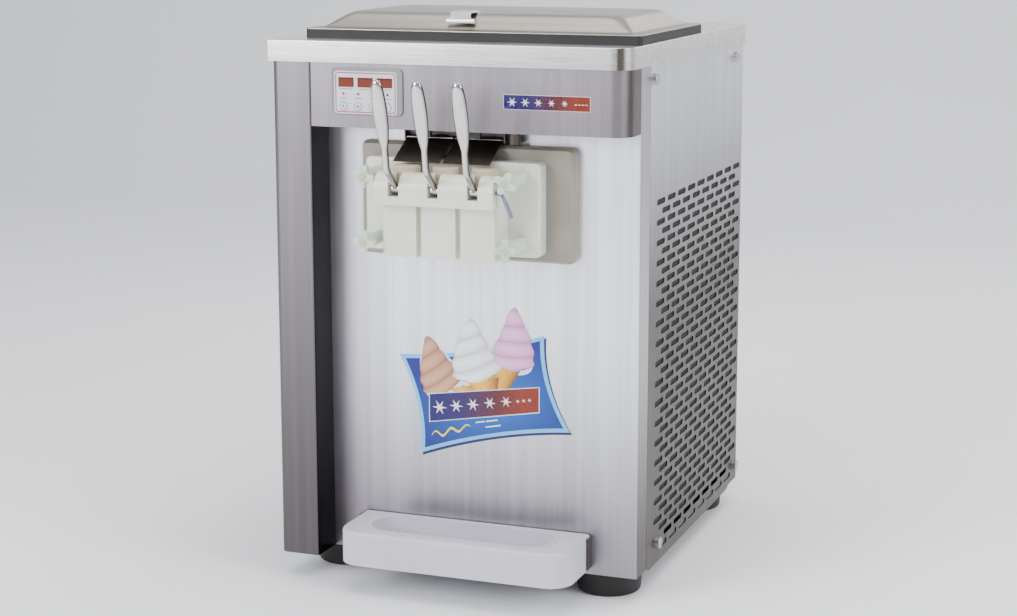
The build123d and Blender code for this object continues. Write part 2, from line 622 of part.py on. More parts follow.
# ---------------------------------------------------------------- dispensing head
def head_backplate():
    """Insulating plate between the front panel and the door, with a bevelled border."""
    x = HEAD_X + BACKPLATE_OFFSET_X
    z = HEAD_Z + BACKPLATE_OFFSET_Z
    outline = RectangleRounded(BACKPLATE_WIDTH, BACKPLATE_HEIGHT, 10)
    plate = facing(outline, x, BACKPLATE_Y, z, BACKPLATE_THICKNESS)
    rim = plate.faces().sort_by(Axis.Y)[0].outer_wire().edges()
    plate = chamfer(rim, BACKPLATE_BEVEL, BACKPLATE_BEVEL / 2)
    for cx in CYLINDER_XS:
        plate -= rod_y(cx, BACKPLATE_Y - 1, RECESS + 1, CYLINDER_Z, CYLINDER_BORE + CYLINDER_WALL)
    for sx, sz in STUD_POINTS:
        plate -= rod_y(sx, BACKPLATE_Y - 1, RECESS + 1, sz, STUD_RADIUS)
    return plate


def half_round_bar(x0, x1, y_front, z0, radius):
    """A bar along X with a half-round top."""
    bar = block(x0, x1, y_front, y_front + 2 * radius, z0, z0 + radius)
    return bar + rod_x(x0, x1, y_front + radius, z0 + radius, radius)


def dispensing_door():
    """Moulded door: flange, valve block with three bores, header with lever slots, ports."""
    door = facing(RectangleRounded(DOOR_WIDTH, DOOR_HEIGHT, 7), HEAD_X, DOOR_Y, HEAD_Z, DOOR_THICKNESS)
    door = fillet(door.faces().sort_by(Axis.Y)[0].outer_wire().edges(), 2.5)
    half = BLOCK_WIDTH / 2
    body = block(HEAD_X - half, HEAD_X + half, BLOCK_Y, DOOR_Y + 1, DOOR_BASE_Z, BLOCK_TOP_Z)
    body = fillet(body.edges().filter_by(Axis.Z).group_by(Axis.Y)[0], 3)
    for side in (-1, 1):
        x = HEAD_X + side * LEVER_PITCH / 2
        body -= block(x - GROOVE_WIDTH / 2, x + GROOVE_WIDTH / 2, BLOCK_Y - 1, BLOCK_Y + GROOVE_DEPTH,
                      DOOR_BASE_Z - 1, HEADER_BASE_Z)
    header = half_round_bar(HEAD_X - HEADER_WIDTH / 2, HEAD_X + HEADER_WIDTH / 2, HEADER_Y,
                            HEADER_BASE_Z, HEADER_RADIUS)
    door = door + body + header
    bore_top = max(HEADER_TOP_Z, HEAD_Z + DOOR_HEIGHT / 2) + 1
    for x in LEVER_XS:
        door -= rod_z(x, PISTON_Y, SEAT_Z, bore_top, PISTON_RADIUS + PISTON_GAP)
        door -= rod_z(x, PISTON_Y, DOOR_BASE_Z + OUTLET_DEPTH, SEAT_Z + 1, OUTLET_RADIUS)
        star = star_outline(OUTLET_POINTS, OUTLET_TIP_RADIUS, OUTLET_ROOT_RADIUS)
        door -= prism(Pos(x, PISTON_Y) * star, DOOR_BASE_Z - 1, DOOR_BASE_Z + OUTLET_DEPTH + 1)
        slot = HUB_WIDTH / 2 + SLOT_GAP
        door -= block(x - slot, x + slot, HEADER_Y - 1, PISTON_Y, SLOT_FLOOR_Z, HEADER_TOP_Z + 1)
    door -= rod_x(HEAD_X - HEADER_WIDTH / 2 - 1, HEAD_X + HEADER_WIDTH / 2 + 1, PIVOT_Y, PIVOT_Z, ROD_RADIUS)
    port_z = SEAT_Z + PORT_RADIUS + 1
    for x in CYLINDER_XS:
        door -= rod_y(x, PISTON_Y, BACKPLATE_Y + 1, port_z, PORT_RADIUS)
        reach = HEAD_X - x
        angle = math.degrees(math.atan2(reach * 0.7, BACKPLATE_Y - PISTON_Y))
        run = math.hypot(reach * 0.7, BACKPLATE_Y - PISTON_Y)
        port = Pos(HEAD_X, PISTON_Y, port_z) * Rot(0, 0, angle) * rod_y(0, 0, run + 8, 0, PORT_RADIUS * 0.8)
        door -= port
        door -= rod_y(x, BACKPLATE_Y - SEAL_SECTION, BACKPLATE_Y + 1, CYLINDER_Z, SEAL_RADIUS)
        door += rod_y(x, BACKPLATE_Y - SEAL_SECTION, BACKPLATE_Y, CYLINDER_Z, SEAL_RADIUS - SEAL_SECTION) - rod_y(
            x, BACKPLATE_Y - SEAL_SECTION - 1, BACKPLATE_Y + 1, CYLINDER_Z, CYLINDER_BORE)
    for x, z in STUD_POINTS:
        door -= rod_y(x, DOOR_Y - 1, BACKPLATE_Y + 1, z, STUD_RADIUS + STUD_HOLE_GAP)
    return door


def star_outline(points, tip, root):
    """A regular star with sharp points."""
    corners = []
    for i in range(2 * points):
        radius = tip if i % 2 == 0 else root
        angle = math.pi * i / points
        corners.append((radius * math.cos(angle), radius * math.sin(angle)))
    return Polygon(*corners, align=None)


def cylinder_seals():
    """Two rubber rings between the door and the mouths of the freezing cylinders."""
    rings = []
    for x in CYLINDER_XS:
        ring = rod_y(x, BACKPLATE_Y - SEAL_SECTION, BACKPLATE_Y, CYLINDER_Z, SEAL_RADIUS)
        rings.append(ring - rod_y(x, BACKPLATE_Y - SEAL_SECTION - 1, BACKPLATE_Y + 1, CYLINDER_Z,
                                  SEAL_RADIUS - SEAL_SECTION))
    return joined(rings)


def door_studs():
    """Four threaded studs, fixed behind the front panel, that the knobs screw on to."""
    studs = []
    front = DOOR_Y - KNOB_LENGTH + 16
    for x, z in STUD_POINTS:
        stud = rod_y(x, front, PANEL_INNER_Y + 8, z, STUD_RADIUS)
        nut = facing(RegularPolygon(7, 6), x, PANEL_INNER_Y, z, 6)
        studs.append(stud + nut)
    return joined(studs)


def star_knob(x, z, turn):
    """Four-lobed hand knob on a long sleeve with a threaded bore, turned as it was last tightened."""
    back = DOOR_Y - KNOB_FACE_GAP
    front = back - KNOB_LENGTH
    sleeve = rod_y(x, front + KNOB_HEAD_THICKNESS, back, z, KNOB_SLEEVE_RADIUS)
    lobes = [Rot(0, 0, turn + 90 * i) * Pos(KNOB_TIP_RADIUS - KNOB_LOBE_RADIUS, 0) * Circle(KNOB_LOBE_RADIUS)
             for i in range(4)]
    arms = [Rot(0, 0, turn + 90 * i) * Pos((KNOB_TIP_RADIUS - KNOB_LOBE_RADIUS) / 2, 0)
            * Rectangle(KNOB_TIP_RADIUS - KNOB_LOBE_RADIUS, 2 * KNOB_LOBE_RADIUS) for i in range(4)]
    outline = Circle(KNOB_CORE_RADIUS) + lobes + arms
    head = facing(outline, x, front, z, KNOB_HEAD_THICKNESS)
    head = fillet(head.faces().sort_by(Axis.Y)[0].outer_wire().edges(), 1.5)
    bore = rod_y(x, DOOR_Y - KNOB_LENGTH + 15, back + 1, z, STUD_RADIUS + STUD_FIT)
    return head + sleeve - bore


def piston(x, middle):
    """Draw valve: a plug with a pocket for the lever's nose; the middle one is cut down behind."""
    plug = rod_z(x, PISTON_Y, SEAT_Z + PISTON_GAP, PISTON_TOP_Z, PISTON_RADIUS)
    plug = fillet(plug.edges().filter_by(GeomType.CIRCLE).sort_by(Axis.Z)[-1], 2)
    pocket_half = NOSE_RADIUS + NOSE_CLEARANCE
    pocket_back = PIVOT_Y + NOSE_REACH + NOSE_RADIUS + NOSE_CLEARANCE
    plug -= block(x - HUB_WIDTH / 2 - SLOT_GAP, x + HUB_WIDTH / 2 + SLOT_GAP, PISTON_Y - PISTON_RADIUS - 1,
                  pocket_back, NOSE_Z - pocket_half, NOSE_Z + pocket_half)
    if middle:
        plug -= block(x - PISTON_RADIUS - 1, x + PISTON_RADIUS + 1, FLAP_FRONT_Y - 1.5, PISTON_Y + PISTON_RADIUS + 1,
                      PISTON_TOP_Z - MIDDLE_STEP, PISTON_TOP_Z + 1)
    return plug


def lever(x):
    """Draw lever: hub on the pivot rod, a nose for the piston, a curved neck and a paddle grip."""
    hub = rod_x(x - HUB_WIDTH / 2, x + HUB_WIDTH / 2, PIVOT_Y, PIVOT_Z, HUB_RADIUS)
    dip = math.radians(NOSE_DIP_DEG)
    nose_y = PIVOT_Y + NOSE_REACH * math.cos(dip)
    nose = rod_x(x - HUB_WIDTH / 2, x + HUB_WIDTH / 2, nose_y, NOSE_Z, NOSE_RADIUS)
    arm = Pos(x, PIVOT_Y, PIVOT_Z) * Rot(-NOSE_DIP_DEG, 0, 0) * block(
        -HUB_WIDTH / 2, HUB_WIDTH / 2, 0, NOSE_REACH, -NOSE_RADIUS * 0.8, NOSE_RADIUS * 0.8)
    points = [(x, PIVOT_Y, PIVOT_Z)] + [(x, PIVOT_Y + dy, PIVOT_Z + dz) for dy, dz in NECK_POINTS]
    spine = FilletPolyline(*points, radius=14)
    start = Plane(origin=spine @ 0, z_dir=spine % 0)
    neck = sweep(start * Circle(NECK_ROD_RADIUS), path=spine)
    grip_base = Vector(*points[-1])
    lean = math.radians(GRIP_LEAN_DEG)
    direction = Vector(0, -math.sin(lean), math.cos(lean))
    stations = ((-4, 0.44, 0.72), (0, 0.5, 0.75), (8, 0.66, 0.82), (38, 0.98, 0.98), (60, 1.0, 1.0),
                (80, 0.88, 0.92), (91, 0.66, 0.74), (GRIP_LENGTH - 1, 0.28, 0.34))
    sections = []
    for along, width, thickness in stations:
        plane = Plane(origin=grip_base + direction * along, x_dir=(1, 0, 0), z_dir=direction)
        sections.append(plane * Ellipse(GRIP_HALF_WIDTH * width, GRIP_HALF_THICKNESS * thickness))
    grip = loft(sections)
    body = hub + nose + arm + neck + grip
    return body - rod_x(x - HUB_WIDTH, x + HUB_WIDTH, PIVOT_Y, PIVOT_Z, ROD_RADIUS + ROD_FIT)


def pivot_rod():
    """Bent rod through the header that all three levers turn on."""
    left = HEAD_X - HEADER_WIDTH / 2 - 4
    right = HEAD_X + HEADER_WIDTH / 2 + 9
    points = [(left, PIVOT_Y, PIVOT_Z), (right, PIVOT_Y, PIVOT_Z),
              (right + ROD_TAIL * 0.34, PIVOT_Y + 6, PIVOT_Z - ROD_TAIL)]
    path = FilletPolyline(*points, radius=9)
    start = Plane(origin=path @ 0, z_dir=path % 0)
    return sweep(start * Circle(ROD_RADIUS), path=path)


def switch_flap(side):
    """Thin flap that an outer piston lifts; it turns on a wire rolled into its back edge."""
    centre = HEAD_X + FLAP_OFFSET_X + side * (FLAP_WIDTH + FLAP_GAP) / 2
    run = FLAP_HINGE_Y - FLAP_FRONT_Y
    rise = FLAP_HINGE_Z - FLAP_FRONT_Z
    length = math.hypot(run, rise)
    sheet = Box(FLAP_WIDTH, length, FLAP_THICKNESS, align=(Align.CENTER, Align.MAX, Align.CENTER))
    tilted = Pos(centre, FLAP_HINGE_Y, FLAP_HINGE_Z + FLAP_THICKNESS) * Rot(
        math.degrees(math.atan2(rise, run)), 0, 0) * sheet
    knuckle = rod_x(centre - FLAP_WIDTH / 2, centre + FLAP_WIDTH / 2, FLAP_HINGE_Y, FLAP_HINGE_Z,
                    FLAP_HINGE_RADIUS + 1)
    return tilted + knuckle - rod_x(centre - FLAP_WIDTH, centre + FLAP_WIDTH, FLAP_HINGE_Y, FLAP_HINGE_Z,
                                    FLAP_HINGE_RADIUS - 1 + 0.05)


def switch_bracket():
    """Bracket under the fascia with the flaps' hinge wire and a stop post."""
    middle = HEAD_X + FLAP_OFFSET_X
    half = FLAP_WIDTH + FLAP_GAP / 2 + 4
    y0 = FLAP_HINGE_Y + FLAP_HINGE_RADIUS + 3
    rail = block(middle - half, middle + half, y0, y0 + 2, FLAP_HINGE_Z - 4, FASCIA_Z - 2)
    top = block(middle - half, middle + half, y0 - 32, y0 + 2, FASCIA_Z - 2, FASCIA_Z)
    wire = rod_x(middle - half, middle + half, FLAP_HINGE_Y, FLAP_HINGE_Z, FLAP_HINGE_RADIUS - 1)
    pieces = rail + top + wire
    for x in (middle - half, middle + half - 2):
        pieces += block(x, x + 2, FLAP_HINGE_Y - 4, y0 + 2, FLAP_HINGE_Z - 4, FASCIA_Z)
    post = rod_z(middle + half + 14, FLAP_HINGE_Y - 3, FASCIA_Z - 19, FASCIA_Z, 9)
    return joined([pieces, post])


def microswitches():
    """Two snap switches above the flaps with their plungers."""
    middle = HEAD_X + FLAP_OFFSET_X
    switches = []
    for side in (-1, 1):
        x = middle + side * (FLAP_WIDTH + FLAP_GAP) / 2
        z = FASCIA_Z - 2
        body = block(x - SWITCH_LENGTH / 2, x + SWITCH_LENGTH / 2, FLAP_HINGE_Y - 26, FLAP_HINGE_Y - 19,
                     z - SWITCH_HEIGHT, z)
        switches.append(body + rod_z(x + 4, FLAP_HINGE_Y - 22.5, z - SWITCH_HEIGHT - 1.5, z - SWITCH_HEIGHT, 1.5))
    return joined(switches)


# ---------------------------------------------------------------- controls
def button_holes(y0, y1):
    """Clearance holes for the four button caps."""
    return [rod_y(x, y0, y1, BUTTON_Z, BUTTON_RADIUS + BUTTON_GAP) for x in BUTTON_XS]


def control_bezel():
    """Raised frame plate behind the keypad."""
    plate = facing(RectangleRounded(BEZEL_WIDTH, BEZEL_HEIGHT, BEZEL_RADIUS), BEZEL_X, -BEZEL_THICKNESS,
                   BEZEL_Z, BEZEL_THICKNESS)
    plate = fillet(plate.faces().sort_by(Axis.Y)[0].outer_wire().edges(), 1)
    return plate - button_holes(-BEZEL_THICKNESS - 1, 1)


def keypad():
    """Printed membrane sheet on the bezel, with openings for the buttons and the displays."""
    y0 = -BEZEL_THICKNESS - KEYPAD_THICKNESS
    sheet = facing(RectangleRounded(KEYPAD_WIDTH, KEYPAD_HEIGHT, 5), KEYPAD_X, y0, KEYPAD_Z, KEYPAD_THICKNESS)
    for x in DISPLAY_XS:
        sheet -= facing(Rectangle(DISPLAY_WIDTH, DISPLAY_HEIGHT), x, y0 - 1, DISPLAY_Z, KEYPAD_THICKNESS + 2)
    return sheet - button_holes(y0 - 1, -BEZEL_THICKNESS + 1)


def display_windows():
    """Three tinted windows over the number displays."""
    y0 = -BEZEL_THICKNESS - DISPLAY_THICKNESS
    return joined([facing(Rectangle(DISPLAY_WIDTH, DISPLAY_HEIGHT), x, y0, DISPLAY_Z, DISPLAY_THICKNESS)
                   for x in DISPLAY_XS])


def button(x):
    """Round push button with a stem that reaches the board behind the fascia."""
    front = -BEZEL_THICKNESS - KEYPAD_THICKNESS - BUTTON_PROUD
    cap = rod_y(x, front, -BUTTON_TRAVEL - 0.4, BUTTON_Z, BUTTON_RADIUS)
    cap = fillet(cap.edges().filter_by(GeomType.CIRCLE).sort_by(Axis.Y)[0], 0.6)
    return cap + rod_y(x, -BUTTON_TRAVEL - 0.4, 9, BUTTON_Z, BUTTON_STEM_RADIUS)


def control_board():
    """Circuit board behind the keypad with its switches, relays and displays."""
    y0 = 10 + BUTTON_TRAVEL + 0.5
    board = block(KEYPAD_X - 62, KEYPAD_X + 62, y0, y0 + 1.6, BEZEL_Z - 34, BEZEL_Z + 34)
    for i in range(3):
        x = KEYPAD_X - 40 + 36 * i
        board += block(x, x + 20, y0 + 1.6, y0 + 18, BEZEL_Z - 10, BEZEL_Z + 16)
    return board


# ---------------------------------------------------------------- freezing and drive
def freezing_cylinders():
    """Two steel barrels with a cooling jacket, open at the door and bushed at the back."""
    barrels = []
    for x in CYLINDER_XS:
        barrel = rod_y(x, BACKPLATE_Y, CYLINDER_BACK, CYLINDER_Z, CYLINDER_BORE + CYLINDER_WALL)
        barrel += rod_y(x, PANEL_INNER_Y + 2, CYLINDER_BACK - 6, CYLINDER_Z, JACKET_RADIUS)
        barrel -= rod_y(x, BACKPLATE_Y - 1, CYLINDER_BACK - 6, CYLINDER_Z, CYLINDER_BORE)
        barrel -= rod_y(x, CYLINDER_BACK - 7, CYLINDER_BACK + 1, CYLINDER_Z, SHAFT_RADIUS + SHAFT_FIT)
        barrel -= rod_z(x, NECK_Y, CYLINDER_Z, CYLINDER_Z + JACKET_RADIUS + 1, NECK_RADIUS)
        barrels.append(barrel)
    return joined(barrels)


def beater(x):
    """Stirrer: a shaft, crossed arms turned step by step and two scraper bars."""
    y0 = PANEL_INNER_Y + 6
    y1 = CYLINDER_BACK - 14
    reach = CYLINDER_BORE - BEATER_GAP
    body = rod_y(0, y0, GEARBOX_Y + 15, 0, SHAFT_RADIUS)
    for sx in (-1, 1):
        body += block(min(sx * (reach - 7), sx * reach), max(sx * (reach - 7), sx * reach), y0, y1, -3, 3)
    for i in range(BEATER_ARMS):
        y = y0 + 12 + i * (y1 - y0 - 24) / (BEATER_ARMS - 1)
        body += block(-reach + 1, reach - 1, y - 4, y + 4, -3, 3)
        if 0 < i < BEATER_ARMS - 1:
            body += Rot(0, 180 / (BEATER_ARMS - 1) * i, 0) * block(-reach + 4, reach - 4, y + 14, y + 22, -3, 3)
    return Pos(x, 0, CYLINDER_Z) * body


def gearboxes():
    """Two reduction gearboxes on the shelf behind the cylinders."""
    boxes = []
    for x in CYLINDER_XS:
        half = GEARBOX_WIDTH / 2
        box = block(x - half, x + half, GEARBOX_Y, GEARBOX_Y + GEARBOX_DEPTH, SHELF_Z, SHELF_Z + GEARBOX_HEIGHT)
        box = fillet(box.edges().filter_by(Axis.Y), 10)
        box -= rod_y(x, GEARBOX_Y - 1, GEARBOX_Y + 16, CYLINDER_Z, SHAFT_RADIUS + SHAFT_FIT)
        back = GEARBOX_Y + GEARBOX_DEPTH
        box -= rod_y(x, back - 14, back + 1, CYLINDER_Z, STUB_RADIUS + SHAFT_FIT)
        boxes.append(box)
    return joined(boxes)


def grooved_disc(x, y0, z, radius, thickness):
    """A belt pulley with a flat groove between two flanges."""
    disc = rod_y(x, y0, y0 + thickness, z, radius)
    middle = y0 + thickness / 2
    rim = BELT_WIDTH / 2 + BELT_FIT
    ring = rod_y(x, middle - rim, middle + rim, z, radius + 1)
    return disc - (ring - rod_y(x, middle - rim, middle + rim, z, radius - PULLEY_GROOVE))


def gearbox_pulley(index):
    """Large pulley on a gearbox's input stub."""
    x = CYLINDER_XS[index]
    y0 = PULLEY_Y + index * PULLEY_PITCH
    back = GEARBOX_Y + GEARBOX_DEPTH
    return grooved_disc(x, y0, CYLINDER_Z, PULLEY_RADIUS, PULLEY_THICKNESS) + rod_y(
        x, back - 13, y0 + 1, CYLINDER_Z, STUB_RADIUS)


def drive_motor():
    """Beater motor hung under the shelf, with its end bells and mounting cradle."""
    y1 = GEARBOX_Y + GEARBOX_DEPTH
    body = rod_y(HEAD_X, y1 - MOTOR_LENGTH, y1, MOTOR_Z, MOTOR_RADIUS)
    body += rod_y(HEAD_X, y1 - MOTOR_LENGTH + 14, y1 - 14, MOTOR_Z, MOTOR_RADIUS + 3)
    cradle = block(HEAD_X - 40, HEAD_X + 40, GEARBOX_Y, y1 - 16, MOTOR_Z + MOTOR_RADIUS - 14,
                   SHELF_Z - SHELF_THICKNESS)
    body += cradle
    return body - rod_y(HEAD_X, y1 - 30, y1 + 1, MOTOR_Z, STUB_RADIUS + SHAFT_FIT)


def motor_pulley():
    """Motor shaft end with one small pulley for each belt."""
    y1 = GEARBOX_Y + GEARBOX_DEPTH
    body = rod_y(HEAD_X, y1 - 28, PULLEY_Y + 2, MOTOR_Z, STUB_RADIUS)
    for i in range(2):
        body += grooved_disc(HEAD_X, PULLEY_Y + i * PULLEY_PITCH, MOTOR_Z, MOTOR_PULLEY_RADIUS, PULLEY_THICKNESS)
    return body + rod_y(HEAD_X, PULLEY_Y, PULLEY_Y + PULLEY_PITCH + PULLEY_THICKNESS, MOTOR_Z, STUB_RADIUS)


def drive_belts():
    """Two belts from the motor to the gearbox pulleys."""
    belts = []
    for i, x in enumerate(CYLINDER_XS):
        run_x = x - HEAD_X
        run_z = CYLINDER_Z - MOTOR_Z

        def loop(grow):
            small = Circle(MOTOR_PULLEY_RADIUS - PULLEY_GROOVE + BELT_FIT + grow)
            large = Pos(run_x, run_z) * Circle(PULLEY_RADIUS - PULLEY_GROOVE + BELT_FIT + grow)
            return make_hull((small + large).edges())

        middle = PULLEY_Y + i * PULLEY_PITCH + PULLEY_THICKNESS / 2
        belts.append(facing(loop(BELT_THICKNESS) - loop(0), HEAD_X, middle - BELT_WIDTH / 2, MOTOR_Z, BELT_WIDTH))
    return joined(belts)


# ---------------------------------------------------------------- refrigeration
def compressor():
    """Hermetic compressor with a domed shell on a flat mounting plate."""
    z0 = BASE_Z + 2 * SHEET
    x, y = COMPRESSOR_X, COMPRESSOR_Y
    shell = rod_z(x, y, z0 + 14, z0 + COMPRESSOR_HEIGHT, COMPRESSOR_RADIUS)
    shell = fillet(shell.edges().filter_by(GeomType.CIRCLE), 26)
    plate = block(x - 80, x + 80, y - 60, y + 60, z0 + 10, z0 + 16)
    mounts = [rod_z(x + sx * 68, y + sy * 48, z0, z0 + 10, 9) for sx in (-1, 1) for sy in (-1, 1)]
    return shell + plate + mounts


def condenser():
    """Finned condenser behind the left vents, with the return bends of its tubes."""
    x0 = -HALF + 2 * SHEET + POST_SIZE + 3
    x1 = x0 + CONDENSER_THICKNESS
    y0 = CONDENSER_Y
    y1 = y0 + CONDENSER_LENGTH
    z0 = BASE_Z + CONDENSER_RISE
    core = block(x0, x1, y0, y1, z0, z0 + CONDENSER_HEIGHT)
    bends = []
    for i in range(5):
        z = z0 + 26 + i * 50
        for y in (y0, y1):
            bends.append(Pos((x0 + x1) / 2, y, z) * Rot(90, 0, 90) * Torus(15, 4))
    legs = [block(x0 + 8, x1 - 8, y, y + 10, BASE_Z + 2 * SHEET, z0) for y in (y0 + 20, y1 - 30)]
    return core + bends + legs


def fan_centre():
    """Middle of the fan: behind the condenser, seen from the left vents."""
    x = -HALF + 2 * SHEET + POST_SIZE + 3 + CONDENSER_THICKNESS + FAN_GAP
    y = CONDENSER_Y + CONDENSER_LENGTH / 2
    z = BASE_Z + CONDENSER_RISE + CONDENSER_HEIGHT / 2
    return x, y, z


def fan():
    """Condenser fan: a hub with pitched blades."""
    x, y, z = fan_centre()
    hub = Rot(0, 90, 0) * Cylinder(FAN_HUB_RADIUS, FAN_DEPTH)
    span = FAN_RADIUS - FAN_HUB_RADIUS
    blade = Pos(0, 0, FAN_HUB_RADIUS + span / 2 - 2) * Rot(0, 0, 32) * Box(2, 40, span)
    blades = [Rot(360 / FAN_BLADES * i, 0, 0) * blade for i in range(FAN_BLADES)]
    shaft = rod_x(0, FAN_DEPTH / 2 + 20, 0, 0, 4)
    return Pos(x + FAN_DEPTH / 2 + 10, y, z) * (hub + blades + shaft)


def fan_motor():
    """Small fan motor on a bracket that stands on the base pan."""
    x, y, z = fan_centre()
    x0 = x + FAN_DEPTH + 18
    body = rod_x(x0, x0 + FAN_MOTOR_LENGTH, y, z, FAN_MOTOR_RADIUS)
    foot = block(x0 + 8, x0 + FAN_MOTOR_LENGTH - 8, y - 30, y + 30, BASE_Z + 2 * SHEET, BASE_Z + 5 * SHEET)
    stand = block(x0 + 20, x0 + FAN_MOTOR_LENGTH - 20, y - 14, y + 14, BASE_Z + 4 * SHEET, z)
    return body + foot + stand - rod_x(x0 - 1, x0 + 16, y, z, 4 + SHAFT_FIT)


def refrigerant_pipes():
    """Copper lines from the compressor to the condenser and up to the cylinders."""
    z0 = BASE_Z + 2 * SHEET
    top = z0 + COMPRESSOR_HEIGHT - 60
    condenser_x = -HALF + 2 * SHEET + POST_SIZE + 3 + CONDENSER_THICKNESS
    tail_y = CONDENSER_Y + CONDENSER_LENGTH - 20
    x = COMPRESSOR_X - COMPRESSOR_RADIUS
    high = CYLINDER_Z - JACKET_RADIUS - 4
    discharge = [(x, COMPRESSOR_Y, top), (x - 50, COMPRESSOR_Y, top), (x - 50, tail_y, top - 90),
                 (condenser_x, tail_y, top - 90)]
    suction = [(x + 10, COMPRESSOR_Y - 60, top), (x + 10, COMPRESSOR_Y - 110, top),
               (x + 10, COMPRESSOR_Y - 110, high - 26), (CYLINDER_XS[1], COMPRESSOR_Y - 150, high)]
    lines = []
    for points in (discharge, suction):
        path = FilletPolyline(*points, radius=16)
        start = Plane(origin=path @ 0, z_dir=path % 0)
        lines.append(sweep(start * Circle(PIPE_RADIUS), path=path))
    drier = rod_x(condenser_x + 90, condenser_x + 150, tail_y, top - 90, 11)
    return joined([lines[0] + drier, lines[1]])


# ---------------------------------------------------------------- drip tray
def drip_tray():
    """Moulded tray with rounded front corners, an obround basin and a hollow underside."""
    x0 = TRAY_X - TRAY_WIDTH / 2
    x1 = TRAY_X + TRAY_WIDTH / 2
    y0 = -TRAY_REACH
    y1 = RECESS - TRAY_BACK_GAP
    outline = rounded_corner(rounded_corner(plan(x0, x1, y0, y1), x0, y0, TRAY_CORNER), x1, y0, TRAY_CORNER)
    body = prism(outline, TRAY_Z, TRAY_TOP_Z)
    body = fillet(body.faces().sort_by(Axis.Z)[-1].outer_wire().edges().filter_by_position(
        Axis.Y, y0 - 1, y1 - 1), TRAY_EDGE)
    centre_y = (y0 + y1) / 2 + BASIN_OFFSET_Y
    basin = Pos(TRAY_X, centre_y) * SlotOverall(BASIN_LENGTH, BASIN_WIDTH)
    lip = Pos(TRAY_X, centre_y) * SlotOverall(BASIN_LENGTH + 2 * BASIN_LIP, BASIN_WIDTH + 2 * BASIN_LIP)
    bowl = Pos(TRAY_X, centre_y) * SlotOverall(BASIN_LENGTH + 2 * TRAY_WALL, BASIN_WIDTH + 2 * TRAY_WALL)
    inside = offset(outline, -TRAY_WALL)
    hollow = prism(inside, TRAY_Z - 1, TRAY_TOP_Z - TRAY_WALL) - prism(
        bowl, TRAY_TOP_Z - BASIN_DEPTH - TRAY_WALL, TRAY_TOP_Z)
    body = body - hollow + prism(lip, TRAY_TOP_Z - 1, TRAY_TOP_Z + 1.5)
    bowl_cut = prism(basin, TRAY_TOP_Z - BASIN_DEPTH, TRAY_TOP_Z + 3)
    return body - bowl_cut


def tray_bracket():
    """Hanger plate on the front panel that the tray hooks over, with a cheek at each end."""
    x0 = TRAY_X - TRAY_WIDTH / 2 + 20
    x1 = TRAY_X + TRAY_WIDTH / 2 - 20
    gap = TRAY_BACK_GAP
    plate = block(x0, x1, RECESS - BRACKET_SHEET, RECESS, TRAY_Z + 6, TRAY_TOP_Z - 4)
    cheeks = []
    for x in (TRAY_X - TRAY_WIDTH / 2 - 2.5, TRAY_X + TRAY_WIDTH / 2 + 0.5):
        cheeks.append(block(x, x + BRACKET_SHEET, RECESS - 22, RECESS, TRAY_Z + 2, TRAY_TOP_Z - 2))
    bars = [block(TRAY_X - TRAY_WIDTH / 2 - 2.5, x0, RECESS - gap + 1, RECESS, TRAY_Z + 8, TRAY_Z + 20),
            block(x1, TRAY_X + TRAY_WIDTH / 2 + 2.5, RECESS - gap + 1, RECESS, TRAY_Z + 8, TRAY_Z + 20)]
    return plate + cheeks + bars


# ---------------------------------------------------------------- assembly
def build_nodes():
    """Every sub-part, by its node name."""
    nodes = {
        "base_pan": base_pan(), "feet": feet(), "inner_frame": inner_frame(), "left_column": left_column(),
        "front_panel": front_panel(), "front_fascia": front_fascia(),
        "left_side_panel": side_panel(-1, RETURN_Y + SEAM), "right_side_panel": side_panel(1, RETURN_Y + SEAM),
        "rear_panel": rear_panel(), "top_cover": top_cover(), "panel_screws": panel_screws(),
        "lid": lid(), "lid_gasket": lid_gasket(), "lid_handle": lid_handle(),
        "hoppers": hoppers(), "feed_tubes": feed_tubes(), "cord_gland": cord_gland(),
        "head_backplate": head_backplate(), "dispensing_door": dispensing_door(),
        "cylinder_seals": cylinder_seals(), "door_studs": door_studs(),
        "pivot_rod": pivot_rod(), "switch_bracket": switch_bracket(), "microswitches": microswitches(),
        "control_bezel": control_bezel(), "keypad": keypad(), "display_windows": display_windows(),
        "control_board": control_board(),
        "freezing_cylinders": freezing_cylinders(), "gearboxes": gearboxes(),
        "drive_motor": drive_motor(), "motor_pulley": motor_pulley(), "drive_belts": drive_belts(),
        "compressor": compressor(), "condenser": condenser(), "fan": fan(), "fan_motor": fan_motor(),
        "refrigerant_pipes": refrigerant_pipes(), "drip_tray": drip_tray(), "tray_bracket": tray_bracket(),
    }
    for (name, turn), (x, z) in zip(KNOB_TURNS.items(), STUD_POINTS):
        nodes[f"star_knob_{name}"] = star_knob(x, z, turn)
    for name, x in zip(("left", "middle", "right"), LEVER_XS):
        nodes[f"lever_{name}"] = lever(x)
        nodes[f"piston_{name}"] = piston(x, name == "middle")
    for name, side in (("left", -1), ("right", 1)):
        nodes[f"switch_flap_{name}"] = switch_flap(side)
    for i, x in enumerate(BUTTON_XS):
        nodes[f"button_{i + 1}"] = button(x)
    for i, name in enumerate(("left", "right")):
        nodes[f"beater_{name}"] = beater(CYLINDER_XS[i])
        nodes[f"gearbox_pulley_{name}"] = gearbox_pulley(i)
    return nodes


def footprint_middle(nodes):
    """Y of the middle of the whole model's box."""
    boxes = [node.bounding_box() for node in nodes.values()]
    return (min(box.min.Y for box in boxes) + max(box.max.Y for box in boxes)) / 2


NODES = build_nodes()
MIDDLE_Y = footprint_middle(NODES)

os.makedirs("parts", exist_ok=True)
for node_name, shape in NODES.items():
    export_step(Pos(0, -MIDDLE_Y, 0) * shape, f"parts/{node_name}.step")
